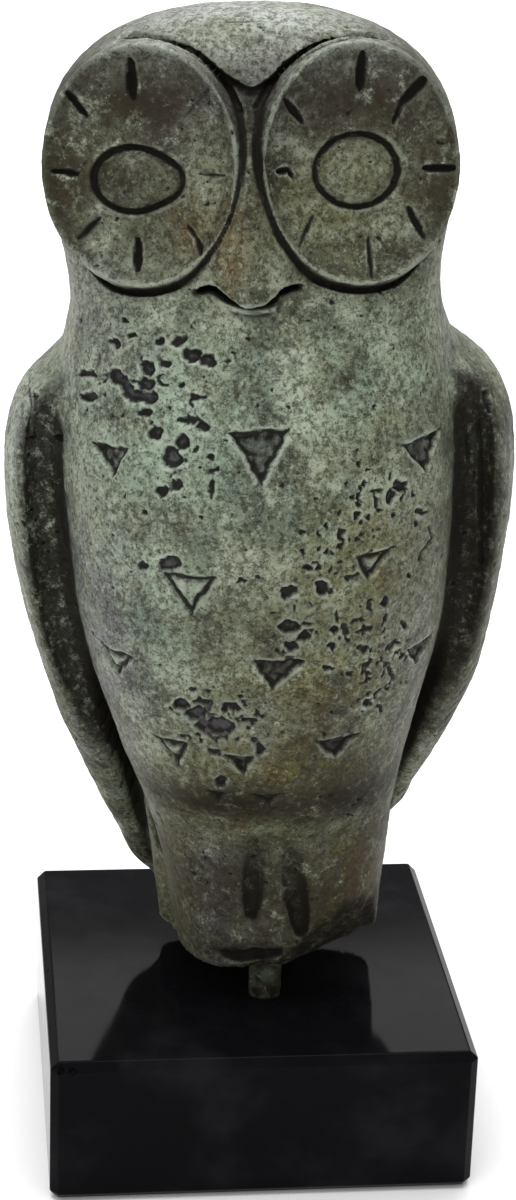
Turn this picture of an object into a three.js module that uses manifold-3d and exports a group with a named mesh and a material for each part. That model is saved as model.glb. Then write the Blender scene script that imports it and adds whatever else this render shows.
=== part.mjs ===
// A cast bronze owl, held a little above a square block of black marble by a short pin.
// Millimetres, +Z up. The origin is the centre of the block's underside, and the owl looks towards -Y.

import * as THREE from "three";
import { ConvexGeometry } from "three/addons/geometries/ConvexGeometry.js";
import { mergeVertices } from "three/addons/utils/BufferGeometryUtils.js";
import Module from "manifold-3d";

const wasm = await Module();
wasm.setup();

// The block and the pin
const PLINTH_SIDE = 60;
const PLINTH_HEIGHT = 22;
const PLINTH_CHAMFER = 1.2;
const PIN_DIAMETER = 4.8;
const PIN_PLACE = new THREE.Vector2(1.6, -11);
const PIN_SIDES = 24;
const TOUCHING_GAP = 0.3;

// How the figure stands on them: a small turn to its right and a lean to the same side
const FIGURE_BASE = new THREE.Vector3(2.9, -1.5, 28);
const FIGURE_TURN = THREE.MathUtils.degToRad(-5.8);
const FIGURE_LEAN = THREE.MathUtils.degToRad(2.8);

// Head, breast and legs as one stack of rounded sections, from the broken feet to the eyes. Each has its
// height above the feet, half its width, its depth before and behind the axis, how far it sits to +X, and
// how square it is: 2 gives an oval, more fills the corners
const BODY_SECTIONS = [
  { height: 0, half: 14.6, front: 14.2, back: 4.0, aside: 1.2, square: 2.3 },
  { height: 4, half: 14.9, front: 15.0, back: 7.0, aside: 1.2, square: 2.3 },
  { height: 10, half: 15.6, front: 15.4, back: 11.0, aside: 1.2, square: 2.3 },
  { height: 17, half: 16.8, front: 15.9, back: 14.0, aside: 1.0, square: 2.3 },
  { height: 24, half: 18.2, front: 18.0, back: 16.2, aside: 0.6, square: 2.3 },
  { height: 30, half: 19.8, front: 21.0, back: 17.4, aside: 0.2, square: 2.3 },
  { height: 38, half: 22.0, front: 23.6, back: 18.8, aside: 0.0, square: 2.3 },
  { height: 50, half: 25.2, front: 26.0, back: 20.4, aside: 0.0, square: 2.3 },
  { height: 62, half: 26.7, front: 27.2, back: 21.2, aside: 0.0, square: 2.3 },
  { height: 74, half: 27.3, front: 27.2, back: 21.0, aside: 0.0, square: 2.3 },
  { height: 84, half: 26.9, front: 25.4, back: 19.8, aside: 0.0, square: 2.3 },
  { height: 91, half: 25.9, front: 23.2, back: 18.8, aside: 0.0, square: 2.4 },
  { height: 97, half: 24.8, front: 20.9, back: 18.2, aside: 0.0, square: 2.5 },
  { height: 103, half: 25.2, front: 18.9, back: 18.6, aside: -0.1, square: 2.7 },
  { height: 109, half: 26.5, front: 17.2, back: 19.6, aside: -0.1, square: 2.9 },
  { height: 116, half: 27.5, front: 16.2, back: 20.2, aside: -0.2, square: 3.0 },
];
const BODY_STEP = 5;
const BODY_SIDES = 44;
const CROWN_HEIGHT = 135;
const CROWN_STEPS = 8;
const CROWN_SIDE_CURVE = { rise: 2.2, spread: 2.3 };
const CROWN_FRONT_CURVE = { rise: 2.6, spread: 2.4 };
const CROWN_SQUARE = 2.3;
const CROWN_ASIDE = -0.9;

// A wing is a long blade against the body's side. Shares run from its tip to its root at the shoulder
const WING_ROOT = 95;
const WING_TIPS = { left: 3.5, right: 12 };
const WING_SQUARE = 2.2;
const WING_STEPS = 18;
const WING_SIDES = 16;
const WING_SECTIONS = [
  { share: 0, outer: 17.0, thickness: 2.4, front: 9.5, back: 14.0 },
  { share: 0.03, outer: 19.7, thickness: 4.4, front: 8.2, back: 15.6 },
  { share: 0.1, outer: 22.4, thickness: 7.0, front: 5.4, back: 17.4 },
  { share: 0.17, outer: 25.3, thickness: 9.4, front: 2.8, back: 18.4 },
  { share: 0.245, outer: 27.9, thickness: 10.8, front: 0.2, back: 19.3 },
  { share: 0.31, outer: 30.1, thickness: 11.6, front: -2.2, back: 19.9 },
  { share: 0.4, outer: 32.0, thickness: 12.2, front: -4.8, back: 20.3 },
  { share: 0.49, outer: 33.4, thickness: 12.4, front: -6.8, back: 20.6 },
  { share: 0.62, outer: 35.0, thickness: 12.8, front: -8.4, back: 20.8 },
  { share: 0.75, outer: 35.4, thickness: 12.6, front: -9.0, back: 20.2 },
  { share: 0.82, outer: 34.6, thickness: 12.2, front: -8.8, back: 19.4 },
  { share: 0.87, outer: 32.2, thickness: 11.6, front: -8.0, back: 18.2 },
  { share: 0.91, outer: 28.8, thickness: 9.6, front: -6.8, back: 16.4 },
  { share: 0.95, outer: 26.0, thickness: 6.6, front: -4.0, back: 13.0 },
  { share: 1, outer: 24.6, thickness: 3.0, front: 1.0, back: 8.0 },
];

// The cove between breast and wing, by height and distance from the middle
const COVE_WIDTH = 3.4;
const COVE_DEPTH = 3.0;
const COVE_PROUD = 3.0;
const COVE_FRONT_SHARE = 0.42;
const COVE_COURSE = [
  { height: 20, aside: 17.6, front: -2.0 },
  { height: 28, aside: 20.8, front: -3.2 },
  { height: 38, aside: 24.4, front: -5.0 },
  { height: 48, aside: 27.4, front: -6.4 },
  { height: 60, aside: 28.6, front: -7.4 },
  { height: 72, aside: 28.9, front: -7.8 },
  { height: 82, aside: 29.2, front: -7.6 },
];
const COVE_STEPS = 12;

// The tail between the wings' tips, behind the legs
const TAIL_SECTIONS = [
  { height: 2.5, half: 8.4, front: 4.0, back: 17.4 },
  { height: 14, half: 10.4, front: 3.0, back: 18.6 },
  { height: 30, half: 13.0, front: 0.0, back: 20.0 },
  { height: 48, half: 14.0, front: 0.0, back: 21.2 },
];
const TAIL_SQUARE = 2.3;
const TAIL_STEPS = 6;
const TAIL_SIDES = 16;

// The two dished discs of the face, each with its rim, eye and ring
const DISC_PLACES = {
  left: new THREE.Vector3(-13.9, -16.1, 117.7),
  right: new THREE.Vector3(14.5, -16.1, 117.5),
};
const DISC_TURN = THREE.MathUtils.degToRad(12);
const DISC_TILT = THREE.MathUtils.degToRad(10.5);
const DISC_HALF_WIDTH = 13.2;
const DISC_HALF_HEIGHT = 15.9;
const DISC_BODY = 8.5;
const DISC_EDGE = 2.6;
const DISC_BACK = 0.84;
const DISC_SIDES = 34;
const DISH_DEPTH = 2.6;
const DISH_CURVE = 2.6;
const DISH_EDGE = 0.9;
const DISH_STEPS = 4;
const DISH_PROUD = 4;
const RIM_CREST = 0.955;
const RIM_DROP = 0.8;
const RIM_INNER_DROP = 0.35;

// Eyes, by side: place on the disc from its centre and half the size of the ball
const EYE_BULGE = 2.5;
const EYE_SUNK = 0.3;
const RING_THICKNESS = 0.14;
const RING_BULGE = 5.2;
const RING_SIDES = 5;
const RING_STEPS = 20;
const EYE_SEGMENTS = { around: 14, down: 8 };
const EYES = {
  left: { aside: -0.8, up: -1.9, half: 4.55, tall: 3.4, ringHalf: 5.5, ringTall: 4.3 },
  right: { aside: -0.4, up: -1.1, half: 4.7, tall: 3.85, ringHalf: 5.4, ringTall: 4.8 },
};

// Strokes that radiate on each disc: degrees clockwise from the top, the shares of the disc's radius where
// one starts and ends, and its width
const STROKE_DEPTH = 0.9;
const STROKE_PROUD = 1.5;
const STROKES = {
  left: [
    { angle: -9, from: 0.53, to: 0.87, width: 1.3 },
    { angle: -53, from: 0.68, to: 0.97, width: 0.9 },
    { angle: -93, from: 0.64, to: 0.93, width: 1.0 },
    { angle: -132, from: 0.59, to: 0.88, width: 1.3 },
    { angle: -175, from: 0.56, to: 0.84, width: 1.0 },
    { angle: 138, from: 0.67, to: 0.93, width: 1.1 },
    { angle: 98, from: 0.5, to: 0.82, width: 0.8 },
    { angle: 45, from: 0.56, to: 0.89, width: 0.8 },
  ],
  right: [
    { angle: 1, from: 0.59, to: 0.9, width: 1.3 },
    { angle: 42, from: 0.5, to: 0.96, width: 1.4 },
    { angle: 91, from: 0.61, to: 0.94, width: 1.0 },
    { angle: 130, from: 0.56, to: 0.86, width: 1.0 },
    { angle: 173, from: 0.55, to: 0.89, width: 0.8 },
    { angle: -133, from: 0.62, to: 0.88, width: 0.9 },
    { angle: -94, from: 0.66, to: 0.83, width: 1.0 },
    { angle: -57, from: 0.66, to: 0.94, width: 1.1 },
  ],
};

// The beak: a ridge that runs down between the discs and flares into a small hooked triangle
const BEAK_TIP = new THREE.Vector3(0, -24.0, 100.9);
const BEAK_RIDGE_TOP = new THREE.Vector3(0, -20.6, 113);
const BEAK_BRIDGE = { half: 1.7, front: -17.4, height: 123 };
const BEAK_CORNER = { half: 6.4, front: -20.2, height: 103.6 };
const BEAK_UNDER = { half: 4.6, front: -15.0, height: 102.4 };
const BEAK_ROOT = { half: 3.0, front: -9.0, height: 121 };

// Triangles cut into the breast, point down: middle of the top edge, width, drop, and how far the point
// stands aside
const MARK_DEPTH = 1.3;
const MARK_PROUD = 1.6;
const BREAST_MARKS = [
  { x: 0.2, height: 85.2, width: 8.0, drop: 7.3, point: 0.2 },
  { x: -19.4, height: 81.6, width: 5.2, drop: 4.2, point: 0.3 },
  { x: 21.4, height: 81.2, width: 5.6, drop: 5.0, point: 0.9 },
  { x: -9.3, height: 65.7, width: 7.5, drop: 5.7, point: 0 },
  { x: 15.1, height: 67.6, width: 5.1, drop: 3.8, point: -1.0 },
  { x: -19.9, height: 52.0, width: 5.2, drop: 4.0, point: 0.4 },
  { x: 2.4, height: 53.5, width: 7.5, drop: 4.6, point: -1.3 },
  { x: 21.6, height: 51.4, width: 4.2, drop: 3.4, point: -0.6 },
  { x: -12.8, height: 39.8, width: 5.2, drop: 4.2, point: 1.1 },
  { x: 10.0, height: 40.2, width: 6.6, drop: 3.2, point: -0.4 },
  { x: -3.5, height: 38.4, width: 4.7, drop: 3.3, point: 0.9 },
  { x: 0.3, height: 31.7, width: 4.4, drop: 1.9, point: 0.2 },
  { x: -6.5, height: 32.1, width: 3.1, drop: 2.2, point: 0.1 },
];

// Corroded pockets in the breast: middle, size and depth
const POCKETS = [
  { x: -16.0, height: 90.4, half: 4.4, tall: 2.0, depth: 1.2 },
  { x: -20.6, height: 86.4, half: 2.0, tall: 1.6, depth: 0.9 },
  { x: -12.0, height: 84.0, half: 1.4, tall: 2.6, depth: 0.9 },
  { x: 9.0, height: 61.0, half: 2.4, tall: 3.0, depth: 0.9 },
  { x: 14.5, height: 57.0, half: 1.8, tall: 2.0, depth: 0.8 },
  { x: -6.0, height: 44.4, half: 4.2, tall: 1.6, depth: 1.0 },
];

// Between the legs: a slot with an upright oval in it
const SLOT = { x: 1.5, half: 4.0, innerHalf: 3.2, low: 6.5, high: 25.0, depth: 2.6, proud: 4.0 };
const COLUMN = { x: 1.5, front: -13.2, height: 16.0, half: 2.5, deep: 2.2, tall: 8.6 };
const COLUMN_SEGMENTS = { around: 12, down: 10 };

// Faces left where the casting broke away under the feet: a point on each, and the way it faces
const BREAKS = [
  { point: [8.0, -11.0, 2.4], facing: [0.62, -0.58, -0.53] },
  { point: [-9.0, -13.4, 1.4], facing: [-0.3, -0.72, -0.63] },
  { point: [1.0, -14.0, 1.8], facing: [0.05, -0.74, -0.67] },
];
const BREAK_BLOCK = 60;

// Long cuts that part the flight feathers on the outside of each wing and on the tail
const FEATHER_CUT = { width: 1.5, depth: 1.2, proud: 1.5 };
const FEATHER_STEPS = 8;
const FEATHER_SPAN = { from: 0.14, to: 0.74 };
const FEATHER_ANGLES = [-8, 24, 52];
const TAIL_CUTS = [-4.2, 0, 4.2];
const TAIL_CUT_SPAN = { low: 4, high: 32 };

const SIDES = { left: -1, right: 1 };
const UP = new THREE.Vector3(0, 0, 1);

/** A closed solid from a three.js geometry, placed by a matrix and with its faces outwards. */
function solid(geometry, matrix = new THREE.Matrix4()) {
  const bare = geometry.clone();
  bare.deleteAttribute("normal");
  bare.deleteAttribute("uv");
  bare.applyMatrix4(matrix);
  const merged = mergeVertices(bare, 1e-4);
  const points = merged.attributes.position.array;
  const corners = merged.index.array;
  const kept = [];
  let volume = 0;
  for (let i = 0; i < corners.length; i += 3) {
    const [a, b, c] = [corners[i], corners[i + 1], corners[i + 2]];
    if (a !== b && b !== c && c !== a) {
      kept.push(a, b, c);
      const [p, q, r] = [a, b, c].map((n) => new THREE.Vector3().fromArray(points, n * 3));
      volume += p.dot(q.cross(r));
    }
  }
  if (volume < 0) {
    kept.reverse();
  }
  const mesh = new wasm.Mesh({
    numProp: 3,
    vertProperties: new Float32Array(points),
    triVerts: new Uint32Array(kept),
  });
  return new wasm.Manifold(mesh);
}

/** The three.js geometry of a solid. */
function geometryOf(manifold) {
  const mesh = manifold.getMesh();
  const geometry = new THREE.BufferGeometry();
  geometry.setAttribute("position", new THREE.BufferAttribute(mesh.vertProperties, 3));
  geometry.setIndex(new THREE.BufferAttribute(mesh.triVerts, 1));
  geometry.computeVertexNormals();
  return geometry;
}

/** A closed solid through a stack of rings with the same number of points, capped at both ends. */
function loft(rings) {
  const sides = rings[0].length;
  const points = rings.flat();
  const corners = [];
  for (let level = 0; level + 1 < rings.length; level += 1) {
    for (let side = 0; side < sides; side += 1) {
      const next = (side + 1) % sides;
      const [a, b] = [level * sides + side, level * sides + next];
      corners.push(a, b, b + sides, a, b + sides, a + sides);
    }
  }
  const caps = [
    { start: 0, turned: true },
    { start: (rings.length - 1) * sides, turned: false },
  ];
  for (const { start, turned } of caps) {
    const ring = points.slice(start, start + sides);
    const middle = ring.reduce((sum, p) => sum.add(p), new THREE.Vector3()).divideScalar(sides);
    const hub = points.push(middle) - 1;
    for (let side = 0; side < sides; side += 1) {
      const [a, b] = [start + side, start + ((side + 1) % sides)];
      corners.push(...(turned ? [b, a, hub] : [a, b, hub]));
    }
  }
  const geometry = new THREE.BufferGeometry().setFromPoints(points);
  geometry.setIndex(corners);
  return solid(geometry);
}

/** The convex solid around some points. */
function hull(points) {
  return solid(new ConvexGeometry(points));
}

/** Reads a list of sections as smooth curves: at(value of key) gives every other field there. */
function smoothSections(sections, key) {
  const fields = Object.keys(sections[0]).filter((name) => name !== key);
  const stops = sections.map((section) => section[key]);
  const values = sections.flatMap((section) => fields.map((name) => section[name]));
  const curve = new THREE.CubicInterpolant(stops, values, fields.length);
  return (place) => {
    const found = curve.evaluate(THREE.MathUtils.clamp(place, stops[0], stops.at(-1)));
    return Object.fromEntries(fields.map((name, n) => [name, found[n]]));
  };
}

/** A level ring of a rounded box, with its own depth on each side of the centre. */
function roundedRing({ x, y, z, half, front, back, square, sides }) {
  const ring = [];
  for (let side = 0; side < sides; side += 1) {
    const angle = (side / sides) * 2 * Math.PI;
    const [across, along] = [Math.cos(angle), Math.sin(angle)];
    const reach = along < 0 ? front : back;
    ring.push(
      new THREE.Vector3(
        x + half * Math.sign(across) * Math.abs(across) ** (2 / square),
        y + reach * Math.sign(along) * Math.abs(along) ** (2 / square),
        z,
      ),
    );
  }
  return ring;
}

const bodyAt = smoothSections(BODY_SECTIONS, "height");
const wingAt = smoothSections(WING_SECTIONS, "share");
const coveAt = smoothSections(COVE_COURSE, "height");
const tailAt = smoothSections(TAIL_SECTIONS, "height");

/** The body's section at a height, where the crown's round takes over above the eyes. */
function bodySection(height) {
  const eyes = BODY_SECTIONS.at(-1);
  if (height <= eyes.height) {
    return bodyAt(height);
  }
  const climb = (height - eyes.height) / (CROWN_HEIGHT - eyes.height);
  const shrink = ({ rise, spread }) => (1 - climb ** rise) ** (1 / spread);
  return {
    half: eyes.half * shrink(CROWN_SIDE_CURVE),
    front: eyes.front * shrink(CROWN_FRONT_CURVE),
    back: eyes.back * shrink(CROWN_SIDE_CURVE),
    aside: THREE.MathUtils.lerp(eyes.aside, CROWN_ASIDE, climb),
    square: THREE.MathUtils.lerp(eyes.square, CROWN_SQUARE, climb),
  };
}

/** How far to the front the breast's surface is at a place, as a point. */
function onBreast(x, height) {
  const { half, front, aside, square } = bodySection(height);
  const across = Math.min(Math.abs(x - aside) / half, 1);
  return new THREE.Vector3(x, -front * (1 - across ** square) ** (1 / square), height);
}

/** Which way the breast's surface faces at a place. */
function breastNormal(x, height) {
  const step = 0.5;
  const rise = onBreast(x, height + step).sub(onBreast(x, height - step));
  const run = onBreast(x + step, height).sub(onBreast(x - step, height));
  return run.cross(rise).normalize();
}

/** Head, breast and legs. */
function makeBody() {
  const eyes = BODY_SECTIONS.at(-1).height;
  const heights = [];
  for (let height = 0; height < eyes; height += BODY_STEP) {
    heights.push(height);
  }
  for (let step = 0; step < CROWN_STEPS; step += 1) {
    heights.push(eyes + (CROWN_HEIGHT - eyes) * Math.sin((step / CROWN_STEPS) * (Math.PI / 2)));
  }
  return loft(
    heights.map((z) => {
      const { half, front, back, aside, square } = bodySection(z);
      return roundedRing({ x: aside, y: 0, z, half, front, back, square, sides: BODY_SIDES });
    }),
  );
}

/** A wing's section at a share of its length, as its middle, half sizes and height. */
function wingSection(side, share) {
  const tip = WING_TIPS[side];
  const { outer, thickness, front, back } = wingAt(share);
  return {
    x: SIDES[side] * (outer - thickness / 2),
    y: (front + back) / 2,
    z: tip + share * (WING_ROOT - tip),
    half: thickness / 2,
    deep: (back - front) / 2,
  };
}

function makeWing(side) {
  const rings = [];
  for (let step = 0; step <= WING_STEPS; step += 1) {
    const share = (1 - Math.cos((Math.PI * step) / WING_STEPS)) / 2;
    const { x, y, z, half, deep } = wingSection(side, share);
    rings.push(
      roundedRing({
        x, y, z, half, front: deep, back: deep, square: WING_SQUARE, sides: WING_SIDES,
      }),
    );
  }
  return loft(rings);
}

function makeTail() {
  const [low, high] = [TAIL_SECTIONS[0].height, TAIL_SECTIONS.at(-1).height];
  const rings = [];
  for (let step = 0; step <= TAIL_STEPS; step += 1) {
    const z = low + ((high - low) * step) / TAIL_STEPS;
    const { half, front, back } = tailAt(z);
    const deep = (back - front) / 2;
    rings.push(
      roundedRing({
        x: 0, y: (front + back) / 2, z, half, front: deep, back: deep,
        square: TAIL_SQUARE, sides: TAIL_SIDES,
      }),
    );
  }
  return loft(rings);
}

/** A groove's cutter along a course of points, each with the way that the surface faces there. */
function vee(course, { width, depth, proud }) {
  const rings = course.map(({ point, normal }, n) => {
    const before = course[Math.max(n - 1, 0)].point;
    const after = course[Math.min(n + 1, course.length - 1)].point;
    const sideways = after.clone().sub(before).cross(normal).normalize();
    const spread = (width / 2) * ((proud + depth) / depth);
    const top = point.clone().addScaledVector(normal, proud);
    return [
      top.clone().addScaledVector(sideways, spread),
      top.clone().addScaledVector(sideways, -spread),
      point.clone().addScaledVector(normal, -depth),
    ];
  });
  return loft(rings);
}

/** The cove between the breast and one wing. */
function makeCove(side) {
  const [low, high] = [COVE_COURSE[0].height, COVE_COURSE.at(-1).height];
  const normal = new THREE.Vector3(SIDES[side] * COVE_FRONT_SHARE, -1, 0).normalize();
  const course = [];
  for (let step = 0; step <= COVE_STEPS; step += 1) {
    const height = low + ((high - low) * step) / COVE_STEPS;
    const { aside, front } = coveAt(height);
    course.push({ point: new THREE.Vector3(SIDES[side] * aside, front, height), normal });
  }
  return vee(course, { width: COVE_WIDTH, depth: COVE_DEPTH, proud: COVE_PROUD });
}

/** The cuts between the flight feathers of one wing, each at its own angle around the blade. */
function makeFeatherCuts(side) {
  return FEATHER_ANGLES.map((degrees) => {
    const angle = THREE.MathUtils.degToRad(degrees);
    const course = [];
    for (let step = 0; step <= FEATHER_STEPS; step += 1) {
      const share = THREE.MathUtils.lerp(FEATHER_SPAN.from, FEATHER_SPAN.to, step / FEATHER_STEPS);
      const { x, y, z, half, deep } = wingSection(side, share);
      const [across, along] = [Math.cos(angle), Math.sin(angle)];
      const outwards = SIDES[side] * half * across ** (2 / WING_SQUARE);
      const backwards = deep * Math.sign(along) * Math.abs(along) ** (2 / WING_SQUARE);
      const normal = new THREE.Vector3((SIDES[side] * across) / half, along / deep, 0).normalize();
      course.push({ point: new THREE.Vector3(x + outwards, y + backwards, z), normal });
    }
    return vee(course, FEATHER_CUT);
  });
}

function makeTailCuts() {
  const normal = new THREE.Vector3(0, 1, 0);
  return TAIL_CUTS.map((x) => {
    const { low, high } = TAIL_CUT_SPAN;
    const course = [];
    for (let step = 0; step <= FEATHER_STEPS; step += 1) {
      const height = low + ((high - low) * step) / FEATHER_STEPS;
      course.push({ point: new THREE.Vector3(x, tailAt(height).back, height), normal });
    }
    return vee(course, FEATHER_CUT);
  });
}

/** Where a disc of the face stands: its X runs to the viewer's right, its Z up, and -Y out of it. */
function discFrame(side) {
  const turn = new THREE.Matrix4().makeRotationZ(SIDES[side] * DISC_TURN);
  const tilt = new THREE.Matrix4().makeRotationX(-DISC_TILT);
  return new THREE.Matrix4().setPosition(DISC_PLACES[side]).multiply(turn).multiply(tilt);
}

/** Depth of the dish below the rim's crest, at a share of the disc's radius. */
function dishFloor(share) {
  const inside = Math.min(share / DISH_EDGE, 1);
  return RIM_INNER_DROP + (DISH_DEPTH - RIM_INNER_DROP) * (1 - inside ** DISH_CURVE);
}

/** A body of revolution in a disc's frame, as wide and tall as the disc at a radius of 1. */
function turnedOnDisc(profile, side) {
  const turned = new THREE.LatheGeometry(profile, DISC_SIDES);
  turned.rotateX(Math.PI);
  turned.scale(DISC_HALF_WIDTH, 1, DISC_HALF_HEIGHT);
  return solid(turned, discFrame(side));
}

/** The slab that a disc's rim and dish are cut from, narrower towards the skull. */
function makeDisc(side) {
  const profile = [
    new THREE.Vector2(0, -DISC_BODY),
    new THREE.Vector2(DISC_BACK, -DISC_BODY),
    new THREE.Vector2(1, -DISC_EDGE),
    new THREE.Vector2(1, -RIM_DROP),
    new THREE.Vector2(RIM_CREST, 0),
    new THREE.Vector2(0, 0),
  ];
  return turnedOnDisc(profile, side);
}

/** Cutter of a disc's dish, inside the rim's crest. */
function makeDish(side) {
  const profile = [];
  for (let step = 0; step <= DISH_STEPS; step += 1) {
    const share = (DISH_EDGE * step) / DISH_STEPS;
    profile.push(new THREE.Vector2(share, -dishFloor(share)));
  }
  profile.push(new THREE.Vector2(RIM_CREST, 0));
  profile.push(new THREE.Vector2(RIM_CREST, DISH_PROUD));
  profile.push(new THREE.Vector2(0, DISH_PROUD));
  return turnedOnDisc(profile, side);
}

/** The ball of an eye and the ring around it. */
function makeEye(side) {
  const { aside, up, half, tall, ringHalf, ringTall } = EYES[side];
  const ball = new THREE.SphereGeometry(1, EYE_SEGMENTS.around, EYE_SEGMENTS.down);
  ball.scale(half, EYE_BULGE, tall);
  ball.translate(aside, DISH_DEPTH + EYE_SUNK, up);
  const ring = new THREE.TorusGeometry(1, RING_THICKNESS, RING_SIDES, RING_STEPS);
  ring.rotateX(Math.PI / 2);
  ring.scale(ringHalf, RING_BULGE, ringTall);
  ring.translate(aside, DISH_DEPTH, up);
  const frame = discFrame(side);
  return [solid(ball, frame), solid(ring, frame)];
}

/** A point on a disc, at an angle and a share of its radius, some way above or below the dish. */
function onDisc(angle, share, sideways, above) {
  const turn = THREE.MathUtils.degToRad(angle);
  const across = Math.sin(turn) * share * DISC_HALF_WIDTH + Math.cos(turn) * sideways;
  const up = Math.cos(turn) * share * DISC_HALF_HEIGHT - Math.sin(turn) * sideways;
  return new THREE.Vector3(across, dishFloor(share) - above, up);
}

function makeStrokes(side) {
  const frame = discFrame(side);
  return STROKES[side].map(({ angle, from, to, width }) => {
    const middle = (from + to) / 2;
    const spread = (width / 2) * ((STROKE_PROUD + STROKE_DEPTH) / STROKE_DEPTH);
    const points = [
      onDisc(angle, from, 0, STROKE_PROUD),
      onDisc(angle, middle, -spread, STROKE_PROUD),
      onDisc(angle, middle, spread, STROKE_PROUD),
      onDisc(angle, to, 0, STROKE_PROUD),
      onDisc(angle, (from + middle) / 2, 0, -STROKE_DEPTH),
      onDisc(angle, (to + middle) / 2, 0, -STROKE_DEPTH),
    ];
    return hull(points.map((point) => point.applyMatrix4(frame)));
  });
}

/** Two points alike on each side of the middle. */
function pair({ half, front, height }) {
  return [new THREE.Vector3(-half, front, height), new THREE.Vector3(half, front, height)];
}

function makeBeak() {
  const sides = [BEAK_BRIDGE, BEAK_CORNER, BEAK_UNDER, BEAK_ROOT].flatMap(pair);
  return hull([BEAK_TIP, BEAK_RIDGE_TOP, ...sides]);
}

/** Cutter of one triangle on the breast, which follows the surface at each of its corners. */
function makeMark({ x, height, width, drop, point }) {
  const corners = [
    [x - width / 2, height],
    [x + width / 2, height],
    [x + point, height - drop],
  ];
  const normal = breastNormal(x, height - drop / 3);
  return hull(
    corners.flatMap(([across, up]) => {
      const spot = onBreast(across, up);
      return [
        spot.clone().addScaledVector(normal, MARK_PROUD),
        spot.clone().addScaledVector(normal, -MARK_DEPTH),
      ];
    }),
  );
}

function makePocket({ x, height, half, tall, depth }) {
  const lump = new THREE.IcosahedronGeometry(1, 0);
  lump.scale(half, depth, tall);
  const facing = new THREE.Quaternion().setFromUnitVectors(
    new THREE.Vector3(0, -1, 0),
    breastNormal(x, height),
  );
  const size = new THREE.Vector3(1, 1, 1);
  return solid(lump, new THREE.Matrix4().compose(onBreast(x, height), facing, size));
}

/** Cutter of the slot between the legs. */
function makeSlot() {
  const { x, half, innerHalf, low, high, depth, proud } = SLOT;
  const points = [];
  for (const height of [low, high]) {
    const front = onBreast(x, height).y;
    for (const way of [-1, 1]) {
      points.push(new THREE.Vector3(x + way * half, front - proud, height));
      points.push(new THREE.Vector3(x + way * innerHalf, front + depth, height));
    }
  }
  return hull(points);
}

function makeColumn() {
  const { x, front, height, half, deep, tall } = COLUMN;
  const oval = new THREE.SphereGeometry(1, COLUMN_SEGMENTS.around, COLUMN_SEGMENTS.down);
  oval.rotateX(Math.PI / 2);
  oval.scale(half, deep, tall);
  oval.translate(x, front, height);
  return solid(oval);
}

/** A block whose one face is the break's, to be taken away. */
function makeBreak({ point, facing }) {
  const block = new THREE.BoxGeometry(BREAK_BLOCK, BREAK_BLOCK, BREAK_BLOCK);
  block.translate(0, 0, BREAK_BLOCK / 2);
  const outwards = new THREE.Vector3(...facing).normalize();
  const turned = new THREE.Quaternion().setFromUnitVectors(UP, outwards);
  const size = new THREE.Vector3(1, 1, 1);
  return solid(block, new THREE.Matrix4().compose(new THREE.Vector3(...point), turned, size));
}

/** The whole cast figure, in its own frame: Z along its axis from the broken feet. */
function makeFigure() {
  const sides = Object.keys(SIDES);
  const lumps = [...sides.map(makeWing), makeTail(), ...sides.map(makeDisc)];
  const cuts = [
    ...sides.map(makeDish),
    ...sides.map(makeCove),
    ...sides.flatMap(makeFeatherCuts),
    ...makeTailCuts(),
    ...BREAST_MARKS.map(makeMark),
    ...POCKETS.map(makePocket),
    makeSlot(),
  ];
  const details = [...sides.flatMap(makeEye), makeBeak(), makeColumn()];
  const lateCuts = [...sides.flatMap(makeStrokes), ...BREAKS.map(makeBreak)];
  let figure = makeBody();
  figure = lumps.reduce((whole, lump) => whole.add(lump), figure);
  figure = cuts.reduce((whole, cut) => whole.subtract(cut), figure);
  figure = details.reduce((whole, lump) => whole.add(lump), figure);
  return lateCuts.reduce((whole, cut) => whole.subtract(cut), figure);
}

/** The block, with every edge taken off at 45 degrees. */
function makePlinth() {
  const half = PLINTH_SIDE / 2;
  const points = [];
  for (const x of [-1, 1]) {
    for (const y of [-1, 1]) {
      for (const z of [0, 1]) {
        const inwards = z ? -PLINTH_CHAMFER : PLINTH_CHAMFER;
        const level = z * PLINTH_HEIGHT;
        const short = half - PLINTH_CHAMFER;
        points.push(new THREE.Vector3(x * short, y * short, level));
        points.push(new THREE.Vector3(x * half, y * short, level + inwards));
        points.push(new THREE.Vector3(x * short, y * half, level + inwards));
      }
    }
  }
  return new ConvexGeometry(points);
}

/** The pin between the block's top and the flat under the feet. */
function makePin() {
  const slope = Math.tan(FIGURE_LEAN) * (PIN_PLACE.x - FIGURE_BASE.x);
  const top = FIGURE_BASE.z + slope - TOUCHING_GAP;
  const bottom = PLINTH_HEIGHT + TOUCHING_GAP;
  const pin = new THREE.CylinderGeometry(PIN_DIAMETER / 2, PIN_DIAMETER / 2, top - bottom, PIN_SIDES);
  pin.rotateX(Math.PI / 2);
  return { pin, middle: (top + bottom) / 2 };
}

const bronze = new THREE.MeshStandardMaterial({ color: 0x8a9a86, roughness: 0.7, metalness: 0.4 });
const pinBronze = new THREE.MeshStandardMaterial({ color: 0x6f7f68, roughness: 0.6, metalness: 0.5 });
const marble = new THREE.MeshStandardMaterial({ color: 0x1c1c1e, roughness: 0.15, metalness: 0.0 });

const owl = new THREE.Mesh(geometryOf(makeFigure()), bronze);
owl.name = "owl_figure";
const stance = new THREE.Group();
stance.position.copy(FIGURE_BASE);
stance.rotation.set(0, -FIGURE_LEAN, FIGURE_TURN);
stance.add(owl);

const { pin, middle } = makePin();
const mountingPin = new THREE.Mesh(pin, pinBronze);
mountingPin.name = "mounting_pin";
mountingPin.position.set(PIN_PLACE.x, PIN_PLACE.y, middle);

const plinth = new THREE.Mesh(makePlinth(), marble);
plinth.name = "plinth";

const statue = new THREE.Group();
statue.add(plinth, mountingPin, stance);

export default statue;
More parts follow.
